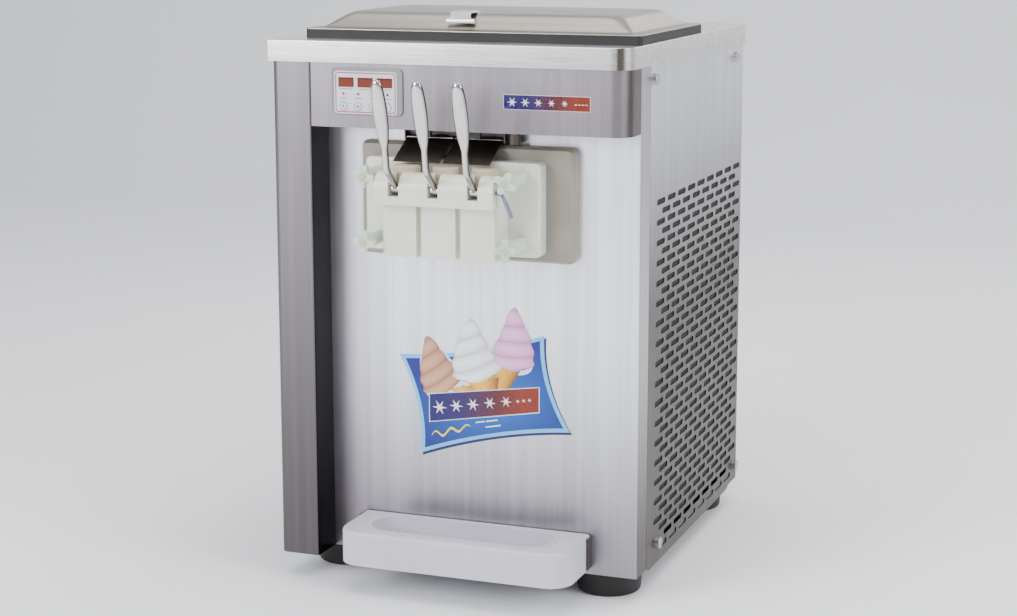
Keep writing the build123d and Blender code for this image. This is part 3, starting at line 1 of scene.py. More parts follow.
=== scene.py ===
"""Looks of a countertop soft-serve ice cream maker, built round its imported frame.

Metres, +X to the machine's right as seen from the front, +Y to the back, +Z up.
"""
import math

import bmesh
import bpy
import numpy as np
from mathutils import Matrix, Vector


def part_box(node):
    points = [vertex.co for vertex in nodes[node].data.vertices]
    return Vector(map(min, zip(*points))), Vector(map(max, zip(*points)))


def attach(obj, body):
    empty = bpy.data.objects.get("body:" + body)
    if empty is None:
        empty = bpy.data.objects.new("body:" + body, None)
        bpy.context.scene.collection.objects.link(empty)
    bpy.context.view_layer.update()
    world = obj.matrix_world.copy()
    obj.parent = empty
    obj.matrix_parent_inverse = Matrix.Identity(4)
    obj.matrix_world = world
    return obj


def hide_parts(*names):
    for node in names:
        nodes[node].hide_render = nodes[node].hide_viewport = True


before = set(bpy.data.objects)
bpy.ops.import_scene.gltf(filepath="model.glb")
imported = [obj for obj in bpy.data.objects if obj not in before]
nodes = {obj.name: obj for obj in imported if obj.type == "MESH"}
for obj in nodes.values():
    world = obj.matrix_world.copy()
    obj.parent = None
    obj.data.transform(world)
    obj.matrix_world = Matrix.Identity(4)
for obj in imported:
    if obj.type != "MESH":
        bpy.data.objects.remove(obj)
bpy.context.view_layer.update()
MM = 0.001

# ------------------------------------------------------------ cabinet sheets
# Folded sheets of 1.5 mm stainless steel with a brushed grain that runs up and down, screwed to an
# inner frame. The front sheet stands back behind a hollow left post and the fascia above it.


def shader(tree, kind, inputs=(), **settings):
    """Adds a shader node with its settings; each input is a constant or a socket to link from."""
    made = tree.nodes.new("ShaderNode" + kind)
    for name, value in settings.items():
        setattr(made, name, value)
    for name, value in dict(inputs).items():
        if isinstance(value, bpy.types.NodeSocket):
            tree.links.new(value, made.inputs[name])
        else:
            made.inputs[name].default_value = value
    return made


def effect(name, inputs, outputs):
    """An empty shader node group with named sockets: returns its tree, its entry and its exit."""
    tree = bpy.data.node_groups.new(name, "ShaderNodeTree")
    for socket, kind, value in inputs:
        tree.interface.new_socket(socket, in_out="INPUT", socket_type=kind).default_value = value
    for socket in outputs:
        tree.interface.new_socket(socket, in_out="OUTPUT", socket_type="NodeSocketFloat")
    return tree, tree.nodes.new("NodeGroupInput"), tree.nodes.new("NodeGroupOutput")


def placed(tree, group, inputs=()):
    """Puts an effect group into a material's tree with its own values."""
    made = tree.nodes.new("ShaderNodeGroup")
    made.node_tree = group
    for name, value in dict(inputs).items():
        made.inputs[name].default_value = value
    return made


def blended(tree, share, low, high, mode="MIX"):
    """Mixes two colours by a share."""
    mix = shader(tree, "Mix", {0: share, 6: low, 7: high}, data_type="RGBA", blend_type=mode)
    return mix.outputs[2]


def ranged(tree, value, from_low, from_high, to_low, to_high):
    """Maps a value from one range to another, held at both ends."""
    return shader(tree, "MapRange", {"Value": value, "From Min": from_low, "From Max": from_high,
                                     "To Min": to_low, "To Max": to_high}).outputs["Result"]


def tint(red, green, blue):
    """A colour with full alpha."""
    return (red, green, blue, 1.0)


brushed_grain, enter, leave = effect(
    "brushed_grain", [("Stretch", "NodeSocketVector", (900.0, 900.0, 9.0))], ["Grain", "Streak"])
place = shader(brushed_grain, "TexCoord").outputs["Object"]
drawn = shader(brushed_grain, "VectorMath", {0: place, 1: enter.outputs["Stretch"]}, operation="MULTIPLY")
fine = shader(brushed_grain, "TexNoise", {"Vector": drawn.outputs[0], "Scale": 1.0, "Detail": 3.0,
                                          "Roughness": 0.65})
wide = shader(brushed_grain, "TexNoise", {"Vector": drawn.outputs[0], "Scale": 0.09, "Detail": 3.0,
                                          "Roughness": 0.6})
brushed_grain.links.new(fine.outputs["Fac"], leave.inputs["Grain"])
brushed_grain.links.new(wide.outputs["Fac"], leave.inputs["Streak"])

handled, enter, leave = effect("handled_surface", [("Size", "NodeSocketFloat", 9.0)], ["Smear"])
place = shader(handled, "TexCoord").outputs["Object"]
cloud = shader(handled, "TexNoise", {"Vector": place, "Scale": enter.outputs["Size"], "Detail": 5.0,
                                     "Roughness": 0.6})
handled.links.new(ranged(handled, cloud.outputs["Fac"], 0.35, 0.7, 0.0, 1.0), leave.inputs["Smear"])


def new_material(name):
    """A material with an empty tree: returns it, its tree and its Principled shader."""
    made = bpy.data.materials.new(name)
    made.use_nodes = True
    tree = made.node_tree
    return made, tree, tree.nodes["Principled BSDF"]


def brushed_sheet(name, low, high, z_low, z_high, stretch=(900.0, 900.0, 9.0), roughness=0.3, painted_side_shade=None):
    """Brushed steel with painted reflection and shade: its tone runs from low to high up the piece, and the
    last argument gives faces turned sideways their own darker tones of painted shade.
    """
    made, tree, skin = new_material(name)
    grain = placed(tree, brushed_grain, {"Stretch": stretch})
    smear = placed(tree, handled, {"Size": 7.0}).outputs["Smear"]
    # The tone up the piece is painted reflection and shade, darker at the bottom.
    rise = shader(tree, "MapRange", {"Value": along(tree, "Z"), "From Min": z_low, "From Max": z_high},
                  interpolation_type="SMOOTHSTEP").outputs["Result"]
    tone = blended(tree, rise, tint(*low), tint(*high))
    # Faces turned sideways take their own darker tones: painted shade.
    if painted_side_shade:
        side = shader(tree, "Math", {0: along(tree, "X", "NewGeometry", "True Normal")}, operation="ABSOLUTE")
        tone = blended(tree, ranged(tree, side.outputs[0], 0.6, 0.9, 0.0, 1.0), tone,
                       blended(tree, rise, tint(*painted_side_shade[0]), tint(*painted_side_shade[1])))
    streaked = blended(tree, ranged(tree, grain.outputs["Streak"], 0.35, 0.65, 0.0, 0.35), tone,
                       tint(0.55, 0.53, 0.53), "MULTIPLY")
    tree.links.new(streaked, skin.inputs["Base Color"])
    skin.inputs["Metallic"].default_value = 1.0
    drawn = ranged(tree, grain.outputs["Grain"], 0.3, 0.7, roughness - 0.05, roughness + 0.07)
    rough = shader(tree, "Math", {0: drawn, 1: ranged(tree, smear, 0.0, 1.0, 0.0, 0.05)}, operation="ADD")
    tree.links.new(rough.outputs[0], skin.inputs["Roughness"])
    bump = shader(tree, "Bump", {"Height": grain.outputs["Grain"], "Strength": 0.10, "Distance": 0.0004})
    tree.links.new(bump.outputs["Normal"], skin.inputs["Normal"])
    return made


def toned(material, mask, colour, mode="MIX"):
    """Lays a second tone over a material's own colour; mask(tree) builds its share and returns the socket."""
    tree = material.node_tree
    base = tree.nodes["Principled BSDF"].inputs["Base Color"]
    tree.links.new(blended(tree, mask(tree), base.links[0].from_socket, tint(*colour), mode), base)


def along(tree, axis, node="TexCoord", output="Object"):
    """One axis of the object's own coordinates, or of another vector output."""
    return shader(tree, "SeparateXYZ", {0: shader(tree, node).outputs[output]}).outputs[axis]


def dress(material, *names):
    """Gives the frame's nodes a material through their slots."""
    for name in names:
        for slot in nodes[name].material_slots:
            slot.material = material


panel_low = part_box("front_panel")[0].z
panel_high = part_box("front_panel")[1].z
# The sheets are one stainless steel, and their different tones are painted light and shade. Each is lighter
# at the top and darker at the bottom, the post and fascia are painted darker than the front sheet, and faces
# turned sideways get darker painted shade.
front_steel = brushed_sheet("front_sheet_steel", (0.34, 0.32, 0.35), (0.90, 0.92, 0.97), panel_low,
                            panel_low + 0.40, roughness=0.33, painted_side_shade=((0.08, 0.065, 0.06), (0.50, 0.49, 0.52)))
post_steel = brushed_sheet("post_steel", (0.105, 0.095, 0.10), (0.25, 0.23, 0.245), panel_low, panel_high,
                           roughness=0.34, painted_side_shade=((0.006, 0.004, 0.004), (0.018, 0.014, 0.012)))
fascia_steel = brushed_sheet("fascia_steel", (0.27, 0.245, 0.27), (0.30, 0.275, 0.30), panel_high - 0.09,
                             panel_high, roughness=0.36, painted_side_shade=((0.13, 0.11, 0.11), (0.13, 0.11, 0.11)))
side_steel = brushed_sheet("side_sheet_steel", (0.085, 0.074, 0.072), (0.80, 0.80, 0.85), panel_low + 0.34,
                           panel_high + 0.01, roughness=0.36)
rear_steel = brushed_sheet("rear_sheet_steel", (0.28, 0.27, 0.27), (0.55, 0.55, 0.57), panel_low, panel_high,
                           roughness=0.38)
deck_steel = brushed_sheet("deck_steel", (0.78, 0.77, 0.74), (0.88, 0.87, 0.84), panel_high,
                           panel_high + 0.03,
                           stretch=(9.0, 900.0, 900.0), roughness=0.25)


def rim_corner_painted_reflection(tree):
    """The front half of the rim's round right corner, where a dark reflection is painted."""
    facing = along(tree, "X", "NewGeometry", "Normal")
    return shader(tree, "Math", {0: ranged(tree, facing, 0.22, 0.34, 0.0, 1.0),
                                 1: ranged(tree, facing, 0.56, 0.74, 1.0, 0.0)},
                  operation="MULTIPLY").outputs[0]


def column_painted_shade(tree):
    """The strip of the front sheet beside the post, painted darker as the post's shade."""
    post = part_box("left_column")[1].x
    fade = shader(tree, "MapRange",
                  {"Value": along(tree, "X"), "From Min": post - 0.02, "From Max": post + 0.14,
                                     "To Min": 0.85, "To Max": 0.0}, interpolation_type="SMOOTHSTEP")
    return fade.outputs["Result"]


# A dark reflection is painted on the front half of the rim's rounded right corner.
toned(deck_steel, rim_corner_painted_reflection, (0.17, 0.15, 0.13))
# The front sheet is painted darker beside the post: painted shade.
toned(front_steel, column_painted_shade, (0.60, 0.55, 0.58), "MULTIPLY")
dress(front_steel, "front_panel")
dress(post_steel, "left_column")
dress(fascia_steel, "front_fascia")
dress(side_steel, "left_side_panel", "right_side_panel")
dress(rear_steel, "rear_panel")
dress(deck_steel, "top_cover")

# ------------------------------------------------------------ frame, base pan and brackets
# Bent galvanised sheet: four corner posts, side rails, a shelf for the gearboxes and the floor pan.
# The zinc has soft grey patches with slightly different gloss.


def zinc_sheet(name, dark, light, roughness):
    """Spangled zinc: cells of slightly different tone and gloss."""
    made, tree, skin = new_material(name)
    place = shader(tree, "TexCoord").outputs["Object"]
    spangle = shader(tree, "TexVoronoi", {"Vector": place, "Scale": 70.0})
    shade = ranged(tree, spangle.outputs["Color"], 0.0, 1.0, 0.0, 1.0)
    tree.links.new(blended(tree, shade, tint(*dark), tint(*light)), skin.inputs["Base Color"])
    tree.links.new(ranged(tree, shade, 0.0, 1.0, roughness, roughness + 0.15), skin.inputs["Roughness"])
    skin.inputs["Metallic"].default_value = 1.0
    return made


dress(zinc_sheet("galvanised_sheet", (0.10, 0.10, 0.10), (0.17, 0.17, 0.175), 0.42), "inner_frame",
      "base_pan")
dress(zinc_sheet("dark_bracket_sheet", (0.09, 0.078, 0.07), (0.15, 0.133, 0.12), 0.38),
      "switch_bracket", "tray_bracket")

# ------------------------------------------------------------ side screws and feet
# Turned nickel-plated posts hold the side and rear sheets. The machine stands on four round moulded
# rubber feet with a fine matt skin.


def bright_metal(name, colour, roughness, marks=0.06):
    """Plated or polished metal: clear reflections with faint handling marks."""
    made, tree, skin = new_material(name)
    smear = placed(tree, handled, {"Size": 40.0}).outputs["Smear"]
    tree.links.new(blended(tree, smear, tint(*colour), tint(*(0.9 * c for c in colour))),
                   skin.inputs["Base Color"])
    tree.links.new(ranged(tree, smear, 0.0, 1.0, roughness, roughness + marks), skin.inputs["Roughness"])
    skin.inputs["Metallic"].default_value = 1.0
    return made


moulded_skin, enter, leave = effect("moulded_skin", [("Size", "NodeSocketFloat", 900.0)], ["Pore", "Flow"])
place = shader(moulded_skin, "TexCoord").outputs["Object"]
pore = shader(moulded_skin, "TexNoise", {"Vector": place, "Scale": enter.outputs["Size"], "Detail": 2.0})
flow = shader(moulded_skin, "TexNoise", {"Vector": place, "Scale": 14.0, "Detail": 3.0, "Roughness": 0.55})
moulded_skin.links.new(pore.outputs["Fac"], leave.inputs["Pore"])
moulded_skin.links.new(flow.outputs["Fac"], leave.inputs["Flow"])


def moulded(name, light, dark, roughness, pores=0.12, size=900.0, glow=0.0, coat=0.0):
    """Moulded plastic or rubber: two close tones that drift over the piece, and a fine skin."""
    made, tree, skin = new_material(name)
    grain = placed(tree, moulded_skin, {"Size": size})
    drift = ranged(tree, grain.outputs["Flow"], 0.35, 0.65, 0.0, 1.0)
    tree.links.new(blended(tree, drift, tint(*light), tint(*dark)), skin.inputs["Base Color"])
    tree.links.new(ranged(tree, grain.outputs["Pore"], 0.3, 0.7, roughness - 0.03, roughness + 0.05),
                   skin.inputs["Roughness"])
    bump = shader(tree, "Bump", {"Height": grain.outputs["Pore"], "Strength": pores, "Distance": 0.0003})
    tree.links.new(bump.outputs["Normal"], skin.inputs["Normal"])
    skin.inputs["Subsurface Weight"].default_value = glow
    skin.inputs["Subsurface Radius"].default_value = (0.012, 0.012, 0.009)
    skin.inputs["Subsurface Scale"].default_value = 0.35
    skin.inputs["Coat Weight"].default_value = coat
    skin.inputs["Coat Roughness"].default_value = 0.15
    return made


black_rubber = moulded("black_rubber", (0.005, 0.0045, 0.0045), (0.010, 0.009, 0.009), 0.6, pores=0.3)
dress(bright_metal("nickel_plate", (0.52, 0.50, 0.46), 0.3), "panel_screws")
dress(black_rubber, "feet", "lid_gasket")

# ------------------------------------------------------------ hoppers, feed tubes and cylinders
# Two deep-drawn stainless hoppers hang under the deck. A white plastic feed tube stands in each outlet.
# The freezing cylinders and their beaters lie below, the cylinders wrapped in brown foam.

bright_steel = bright_metal("bright_steel", (0.70, 0.70, 0.70), 0.2)
white_plastic = moulded("white_moulding", (0.84, 0.84, 0.82), (0.79, 0.79, 0.76), 0.4)
dress(bright_steel, "hoppers", "beater_left", "beater_right", "door_studs")
dress(white_plastic, "feed_tubes")
dress(moulded("cylinder_foam", (0.10, 0.085, 0.06), (0.07, 0.06, 0.045), 0.8, pores=0.5, size=260.0),
      "freezing_cylinders")

# ------------------------------------------------------------ lid
# Pressed stainless cover: a flat flange, rounded sloping sides and a slightly crowned top, in one sheet,
# with a black gasket glued under the flange and a folded finger strap on the front edge.

LID_FLANGE = 18 * MM
LID_SLOPE = 30 * MM
LID_EDGE_RADIUS = 9 * MM
LID_SHEET = 1.4 * MM
LID_CORNER = 7 * MM


def rounded_frame(half_x, half_y, corner, per_corner=14):
    """Points round a rectangle with round corners: each corner's centre plus its radius in a direction
    that turns once; half_x, half_y and corner may be columns, for one ring per row."""
    turn = np.linspace(0, math.pi / 2, per_corner)[None, :] + np.arange(4)[:, None] * math.pi / 2
    sign_x = np.array([1, -1, -1, 1])[:, None] * np.ones_like(turn)
    sign_y = np.array([1, 1, -1, -1])[:, None] * np.ones_like(turn)
    turn, sign_x, sign_y = turn.ravel(), sign_x.ravel(), sign_y.ravel()
    x = sign_x * (half_x - corner) + corner * np.cos(turn)
    y = sign_y * (half_y - corner) + corner * np.sin(turn)
    return x, y


def filleted_line(points, radii, steps=7):
    """A polyline with its inner corners rounded: each corner becomes a quadratic curve whose ends lie
    one radius along both legs."""
    points = np.asarray(points, float)
    out = [points[:1]]
    for before, corner, after, radius in zip(points[:-2], points[1:-1], points[2:], radii):
        start = corner + (before - corner) / np.linalg.norm(before - corner) * radius
        end = corner + (after - corner) / np.linalg.norm(after - corner) * radius
        t = np.linspace(0, 1, steps)[:, None]
        out.append((1 - t) ** 2 * start + 2 * t * (1 - t) * corner + t ** 2 * end)
    out.append(points[-1:])
    return np.concatenate(out)


def skin_mesh(name, points, ring=False, close_ends=False):
    """A mesh over a grid of points, rows x columns x 3: quads between neighbours, the columns joined into
    a ring if asked, and the first and last rows filled if asked; faces point outwards."""
    rows, columns = points.shape[:2]
    row, column = np.meshgrid(np.arange(rows - 1), np.arange(columns if ring else columns - 1), indexing="ij")
    ahead = (column + 1) % columns
    quads = np.stack([row * columns + column, row * columns + ahead,
                      (row + 1) * columns + ahead, (row + 1) * columns + column], -1).reshape(-1, 4).tolist()
    if close_ends:
        quads.append(list(range(columns))[::-1])
        quads.append(list(range((rows - 1) * columns, rows * columns)))
    mesh = bpy.data.meshes.new(name)
    mesh.from_pydata(points.reshape(-1, 3).tolist(), [], quads)
    return mesh


def piece(name, mesh, material, body, clean=True, angle=40.0):
    """Turns a mesh into a finished piece: doubles merged, normals outwards, smooth but for sharp edges."""
    if clean:
        work = bmesh.new()
        work.from_mesh(mesh)
        bmesh.ops.remove_doubles(work, verts=work.verts, dist=1e-6)
        bmesh.ops.recalc_face_normals(work, faces=work.faces)
        work.to_mesh(mesh)
        work.free()
    mesh.polygons.foreach_set("use_smooth", np.ones(len(mesh.polygons), bool))
    mesh.set_sharp_from_angle(angle=math.radians(angle))
    made = bpy.data.objects.new(name, mesh)
    bpy.context.scene.collection.objects.link(made)
    mesh.materials.append(material)
    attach(made, body)
    return made


lid_low, lid_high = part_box("lid")
lid_middle = (lid_low + lid_high) / 2
lid_half = (lid_high - lid_low) / 2
flange_z = lid_low.z + LID_SHEET
profile = filleted_line(
    [(0, lid_low.z + 0.1 * MM), (0, flange_z), (LID_FLANGE, flange_z),
     (LID_FLANGE + LID_SLOPE, lid_high.z - 1.2 * MM),
     (LID_FLANGE + LID_SLOPE + 60 * MM, lid_high.z - 0.3 * MM),
     (lid_half.y, lid_high.z)],
    [1.2 * MM, 4 * MM, LID_EDGE_RADIUS, 20 * MM])
inset = profile[:, :1]
round_off = LID_CORNER + np.clip(inset - LID_FLANGE, 0, LID_SLOPE) * 0.45
ring_x, ring_y = rounded_frame(lid_half.x - inset, lid_half.y - inset,
                               np.minimum(round_off, np.maximum(lid_half.y - inset, 0) * 0.98))
lid_points = np.stack([lid_middle.x + ring_x, lid_middle.y + ring_y, profile[:, 1:] + 0 * ring_x], -1)
# The lid's steel is painted darker towards its flange and lighter towards its top: painted shade.
lid_steel = brushed_sheet("lid_steel", (0.36, 0.33, 0.29), (0.42, 0.39, 0.35), lid_low.z, lid_high.z,
                          stretch=(12.0, 700.0, 700.0), roughness=0.3)
lid_shell = piece("lid_shell", skin_mesh("lid_shell", lid_points, ring=True), lid_steel, "lid",
                  angle=70.0)
wall = lid_shell.modifiers.new("sheet", "SOLIDIFY")
wall.thickness = LID_SHEET
wall.offset = -1.0
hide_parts("lid")
dress(bright_metal("polished_strap", (0.80, 0.79, 0.77), 0.14), "lid_handle")

# ------------------------------------------------------------ cord gland
# Nylon gland with a hexagon and a clamping cap, screwed into the rear sheet.

black_plastic = moulded("black_moulding", (0.018, 0.018, 0.018), (0.03, 0.03, 0.03), 0.42)
dress(black_plastic, "cord_gland", "microswitches")

# ------------------------------------------------------------ drive and cooling, behind the vents
# Cast gearboxes and pulleys, rubber belts, a painted motor and compressor, a finned condenser with its
# fan, copper lines and the control board.


def cast_metal(name, dark, light, roughness):
    """As-cast metal: mottled tone and a pebbled surface."""
    made, tree, skin = new_material(name)
    grain = placed(tree, moulded_skin, {"Size": 320.0})
    drift = ranged(tree, grain.outputs["Flow"], 0.35, 0.65, 0.0, 1.0)
    tree.links.new(blended(tree, drift, tint(*dark), tint(*light)), skin.inputs["Base Color"])
    tree.links.new(ranged(tree, grain.outputs["Pore"], 0.3, 0.7, roughness - 0.06, roughness + 0.1),
                   skin.inputs["Roughness"])
    skin.inputs["Metallic"].default_value = 1.0
    bump = shader(tree, "Bump", {"Height": grain.outputs["Pore"], "Strength": 0.35, "Distance": 0.0006})
    tree.links.new(bump.outputs["Normal"], skin.inputs["Normal"])
    return made


fin_metal, tree, skin = new_material("condenser_fins")
# Dark stripes between the bright fins stand for the shaded gaps between them: painted shade.
phase = shader(tree, "Math", {0: along(tree, "Y"), 1: 2200.0}, operation="MULTIPLY").outputs[0]
painted_fin_gap_stripes = shader(tree, "Math", {0: phase}, operation="SINE").outputs[0]
tree.links.new(blended(tree, ranged(tree, painted_fin_gap_stripes, -0.4, 0.4, 0.0, 1.0), tint(0.03, 0.03, 0.03),
                       tint(0.5, 0.51, 0.52)), skin.inputs["Base Color"])
tree.links.new(ranged(tree, painted_fin_gap_stripes, -0.4, 0.4, 0.8, 0.35), skin.inputs["Roughness"])
skin.inputs["Metallic"].default_value = 0.9
dress(cast_metal("cast_aluminium", (0.40, 0.40, 0.41), (0.52, 0.52, 0.53), 0.42),
      "gearboxes", "motor_pulley", "gearbox_pulley_left", "gearbox_pulley_right")
dress(moulded("belt_rubber", (0.016, 0.015, 0.015), (0.03, 0.028, 0.028), 0.6, pores=0.4), "drive_belts")
dress(moulded("motor_enamel", (0.09, 0.10, 0.115), (0.12, 0.13, 0.145), 0.35, pores=0.05),
      "drive_motor", "fan_motor")
dress(moulded("compressor_enamel", (0.012, 0.012, 0.013), (0.02, 0.02, 0.021), 0.3, pores=0.05, coat=0.3),
      "compressor")
dress(fin_metal, "condenser")
dress(black_plastic, "fan")
dress(bright_metal("copper_tube", (0.78, 0.42, 0.28), 0.25, marks=0.15), "refrigerant_pipes")
dress(moulded("board_lacquer", (0.02, 0.12, 0.05), (0.03, 0.16, 0.07), 0.3, pores=0.02), "control_board")
dress(moulded("silicone_seal", (0.72, 0.72, 0.68), (0.66, 0.66, 0.62), 0.45), "cylinder_seals")

# ------------------------------------------------------------ dust filters
# Thin sheets of black open-cell foam tucked between the side sheets and the frame, behind the slots.

FILTER_THICKNESS = 0.9 * MM
FILTER_GAP = 0.4 * MM
filter_foam = moulded("filter_foam", (0.010, 0.009, 0.008), (0.017, 0.015, 0.013), 0.9, pores=0.6, size=420.0)
for side, inwards in (("left", 1), ("right", -1)):
    low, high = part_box(side + "_side_panel")
    inner = high.x if side == "left" else low.x
    edge = np.array([(low.y + 5 * MM, low.z + 36 * MM), (high.y - 8 * MM, low.z + 36 * MM),
                     (high.y - 8 * MM, high.z - 165 * MM), (low.y + 5 * MM, high.z - 165 * MM)])
    x = inner + inwards * np.array([FILTER_GAP, FILTER_GAP + FILTER_THICKNESS])[:, None] + np.zeros(4)
    slab = np.stack([x, edge[:, 0] + 0 * x, edge[:, 1] + 0 * x], -1)
    piece("dust_filter_" + side, skin_mesh("dust_filter_" + side, slab, ring=True, close_ends=True),
          filter_foam,
          "root")

# ------------------------------------------------------------ dispensing door and its backplate
# The door is machined and moulded from white acetal: a thick flange, painted a darker, cooler tone for the
# shade and cool light it sits in, a valve block with three bores and a half-round header. It seals on a taupe
# insulating plate with a bevelled border.

dress(moulded("beige_plate", (0.30, 0.265, 0.21), (0.265, 0.235, 0.185), 0.38, pores=0.08), "head_backplate")
acetal = moulded("ivory_acetal", (0.76, 0.76, 0.67), (0.71, 0.72, 0.62), 0.3, pores=0.03, glow=0.25,
                 coat=0.15)
# The flange behind the front block is painted a darker, cooler tone: painted shade and cool light.
flange_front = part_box("head_backplate")[0].y - 16 * MM
toned(acetal, lambda tree: ranged(tree, along(tree, "Y"), flange_front - 3 * MM, flange_front, 0.0, 1.0),
      (0.52, 0.66, 0.66))
dress(acetal, "dispensing_door")

# ------------------------------------------------------------ star knobs
# Four-lobed knobs moulded in slightly clear nylon on long sleeves, screwed on the door's studs. A small
# cream cap is pressed into the middle of each face.

CAP_RADIUS = 6.3 * MM
CAP_RISE = 0.9 * MM


def turned(name, profile, x, z, segments=48):
    """Revolves a profile of (radius, y) pairs round an axis along Y through (x, z)."""
    radius, y = np.asarray(profile, float).T
    turn = np.arange(segments) / segments * 2 * math.pi
    points = np.stack([x + radius[:, None] * np.cos(turn), y[:, None] + 0 * turn,
                       z + radius[:, None] * np.sin(turn)], -1)
    return skin_mesh(name, points, ring=True)


def dome_profile(radius, face_y, rise, sink, steps):
    """A quarter ellipse of (radius, y) pairs standing on a face, with a straight foot sunk into it."""
    bend = np.linspace(0, math.pi / 2, steps)
    return [(radius, face_y + sink)] + list(zip(radius * np.cos(bend), face_y - rise * np.sin(bend)))


knob_nylon = moulded("knob_nylon", (0.52, 0.62, 0.51), (0.62, 0.70, 0.59), 0.22, pores=0.03, glow=0.5,
                     coat=0.3)
cap_cream = moulded("cap_cream", (0.50, 0.50, 0.34), (0.45, 0.45, 0.30), 0.35)
for corner in ("upper_left", "upper_right", "lower_left", "lower_right"):
    knob = "star_knob_" + corner
    dress(knob_nylon, knob)
    low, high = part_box(knob)
    cap = turned("knob_cap_" + corner, dome_profile(CAP_RADIUS, low.y, CAP_RISE, 0.2 * MM, 8),
                 (low.x + high.x) / 2, (low.z + high.z) / 2)
    piece("knob_cap_" + corner, cap, cap_cream, knob)

# ------------------------------------------------------------ pistons, levers and switch flaps
# Beige acetal plungers run in the bores. Chromed cast levers turn on one bent steel rod and lift them by
# their noses; two thin steel flaps above feel the outer plungers. The levers' flanks carry a painted dark
# reflection.

chrome = bright_metal("lever_chrome", (0.70, 0.68, 0.66), 0.1, marks=0.08)
dress(moulded("piston_acetal", (0.56, 0.47, 0.35), (0.51, 0.42, 0.31), 0.35, glow=0.1), "piston_left",
      "piston_middle", "piston_right")


def lever_side_painted_reflection(tree):
    """The faces of a lever that are turned sideways, where a dark reflection is painted."""
    facing = shader(tree, "Math", {0: along(tree, "X", "NewGeometry", "Normal")}, operation="ABSOLUTE")
    return ranged(tree, facing.outputs[0], 0.45, 0.95, 0.0, 1.0)


# The chrome's sideways faces are painted dark: a painted reflection.
toned(chrome, lever_side_painted_reflection, (0.10, 0.09, 0.085))
dress(chrome, "lever_left", "lever_middle", "lever_right")
dress(bright_metal("rod_steel", (0.24, 0.28, 0.36), 0.22), "pivot_rod")
# The flaps' steel is painted dark, lighter towards the top: painted shade.
dress(brushed_sheet("flap_steel", (0.17, 0.15, 0.13), (0.24, 0.21, 0.19), 0.6, 0.68, roughness=0.3),
      "switch_flap_left", "switch_flap_right")

# ------------------------------------------------------------ control panel
# A moulded frame carries a printed membrane with a pink border, three tinted number windows, four
# pilot lamps and four round push buttons with a grey ring and a sign each.

PRINT = 0.12 * MM
SINK = 0.1 * MM
BORDER_WIDTH = 1.6 * MM
WINDOW_WIDTH = 23.5 * MM
LAMP_RISE = 17.5 * MM
LAMP_RADIUS = 1.9 * MM
membrane_low, membrane_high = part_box("keypad")
membrane_middle = (membrane_low + membrane_high) / 2
print_y = membrane_low.y


def plates(name, outlines, front, back):
    """Flat prints standing between two Y planes: each outline of (x, z) points becomes a closed plate with
    one face in front, one behind and a strip round its edge."""
    corners, faces = [], []
    for outline in outlines:
        outline = np.asarray(outline, float)
        count, start = len(outline), len(corners)
        for y in (front, back):
            corners.extend(np.column_stack([outline[:, 0], np.full(count, y), outline[:, 1]]).tolist())
        faces.append(list(range(start, start + count)))
        faces.append(list(range(start + 2 * count - 1, start + count - 1, -1)))
        step = np.arange(count)
        ahead = (step + 1) % count
        faces.extend(np.stack([start + ahead, start + step, start + count + step, start + count + ahead],
                              -1).tolist())
    mesh = bpy.data.meshes.new(name)
    mesh.from_pydata(corners, [], faces)
    return mesh


def bar(x, z, width, height):
    """The outline of an upright rectangle."""
    return [(x - width / 2, z - height / 2), (x + width / 2, z - height / 2),
            (x + width / 2, z + height / 2), (x - width / 2, z + height / 2)]


def round_band(x, z, outer, inner, front, back, name):
    """A flat ring: four concentric circles, the front and back of both radii, closed on itself."""
    return turned(name, [(outer, back), (outer, front), (inner, front), (inner, back), (outer, back)], x, z)


def frame_band(name, middle, half_x, half_z, corner, width, front, back):
    """A flat band round a rounded rectangle: the outline at both its edges, in front and behind."""
    shrink = np.array([0, 0, width, width, 0])[:, None]
    x, z = rounded_frame(half_x - shrink, half_z - shrink, corner - shrink)
    y = np.array([back, front, front, back, back])[:, None] + 0 * x
    return skin_mesh(name, np.stack([middle.x + x, y, middle.z + z], -1), ring=True)


def ink(name, colour, roughness=0.4):
    """Printing ink with a slight mottle."""
    return moulded(name, colour, tuple(0.92 * c for c in colour), roughness, pores=0.02)


pink_ink = ink("pink_ink", (0.50, 0.03, 0.11))
caption_ink = ink("caption_ink", (0.04, 0.13, 0.18))
grey_ink = ink("grey_ink", (0.13, 0.14, 0.18))
dress(moulded("bezel_grey", (0.22, 0.24, 0.225), (0.19, 0.21, 0.20), 0.4), "control_bezel")
dress(moulded("membrane_film", (0.62, 0.63, 0.68), (0.59, 0.60, 0.65), 0.3, pores=0.03, coat=0.2), "keypad")
border = frame_band("membrane_border", membrane_middle, 46.3 * MM, 28.3 * MM, 4.5 * MM, BORDER_WIDTH,
                    print_y - PRINT, print_y + SINK)
piece("membrane_border", border, pink_ink, "root", angle=30.0)

window_glass, tree, skin = new_material("tinted_window")
window_low, window_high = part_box("display_windows")
tree.links.new(blended(tree, ranged(tree, along(tree, "Z"), window_low.z, window_high.z, 0.0, 1.0),
                       tint(0.17, 0.030, 0.012), tint(0.11, 0.018, 0.008)), skin.inputs["Base Color"])
skin.inputs["Roughness"].default_value = 0.12
skin.inputs["Coat Weight"].default_value = 0.5
dress(window_glass, "display_windows")

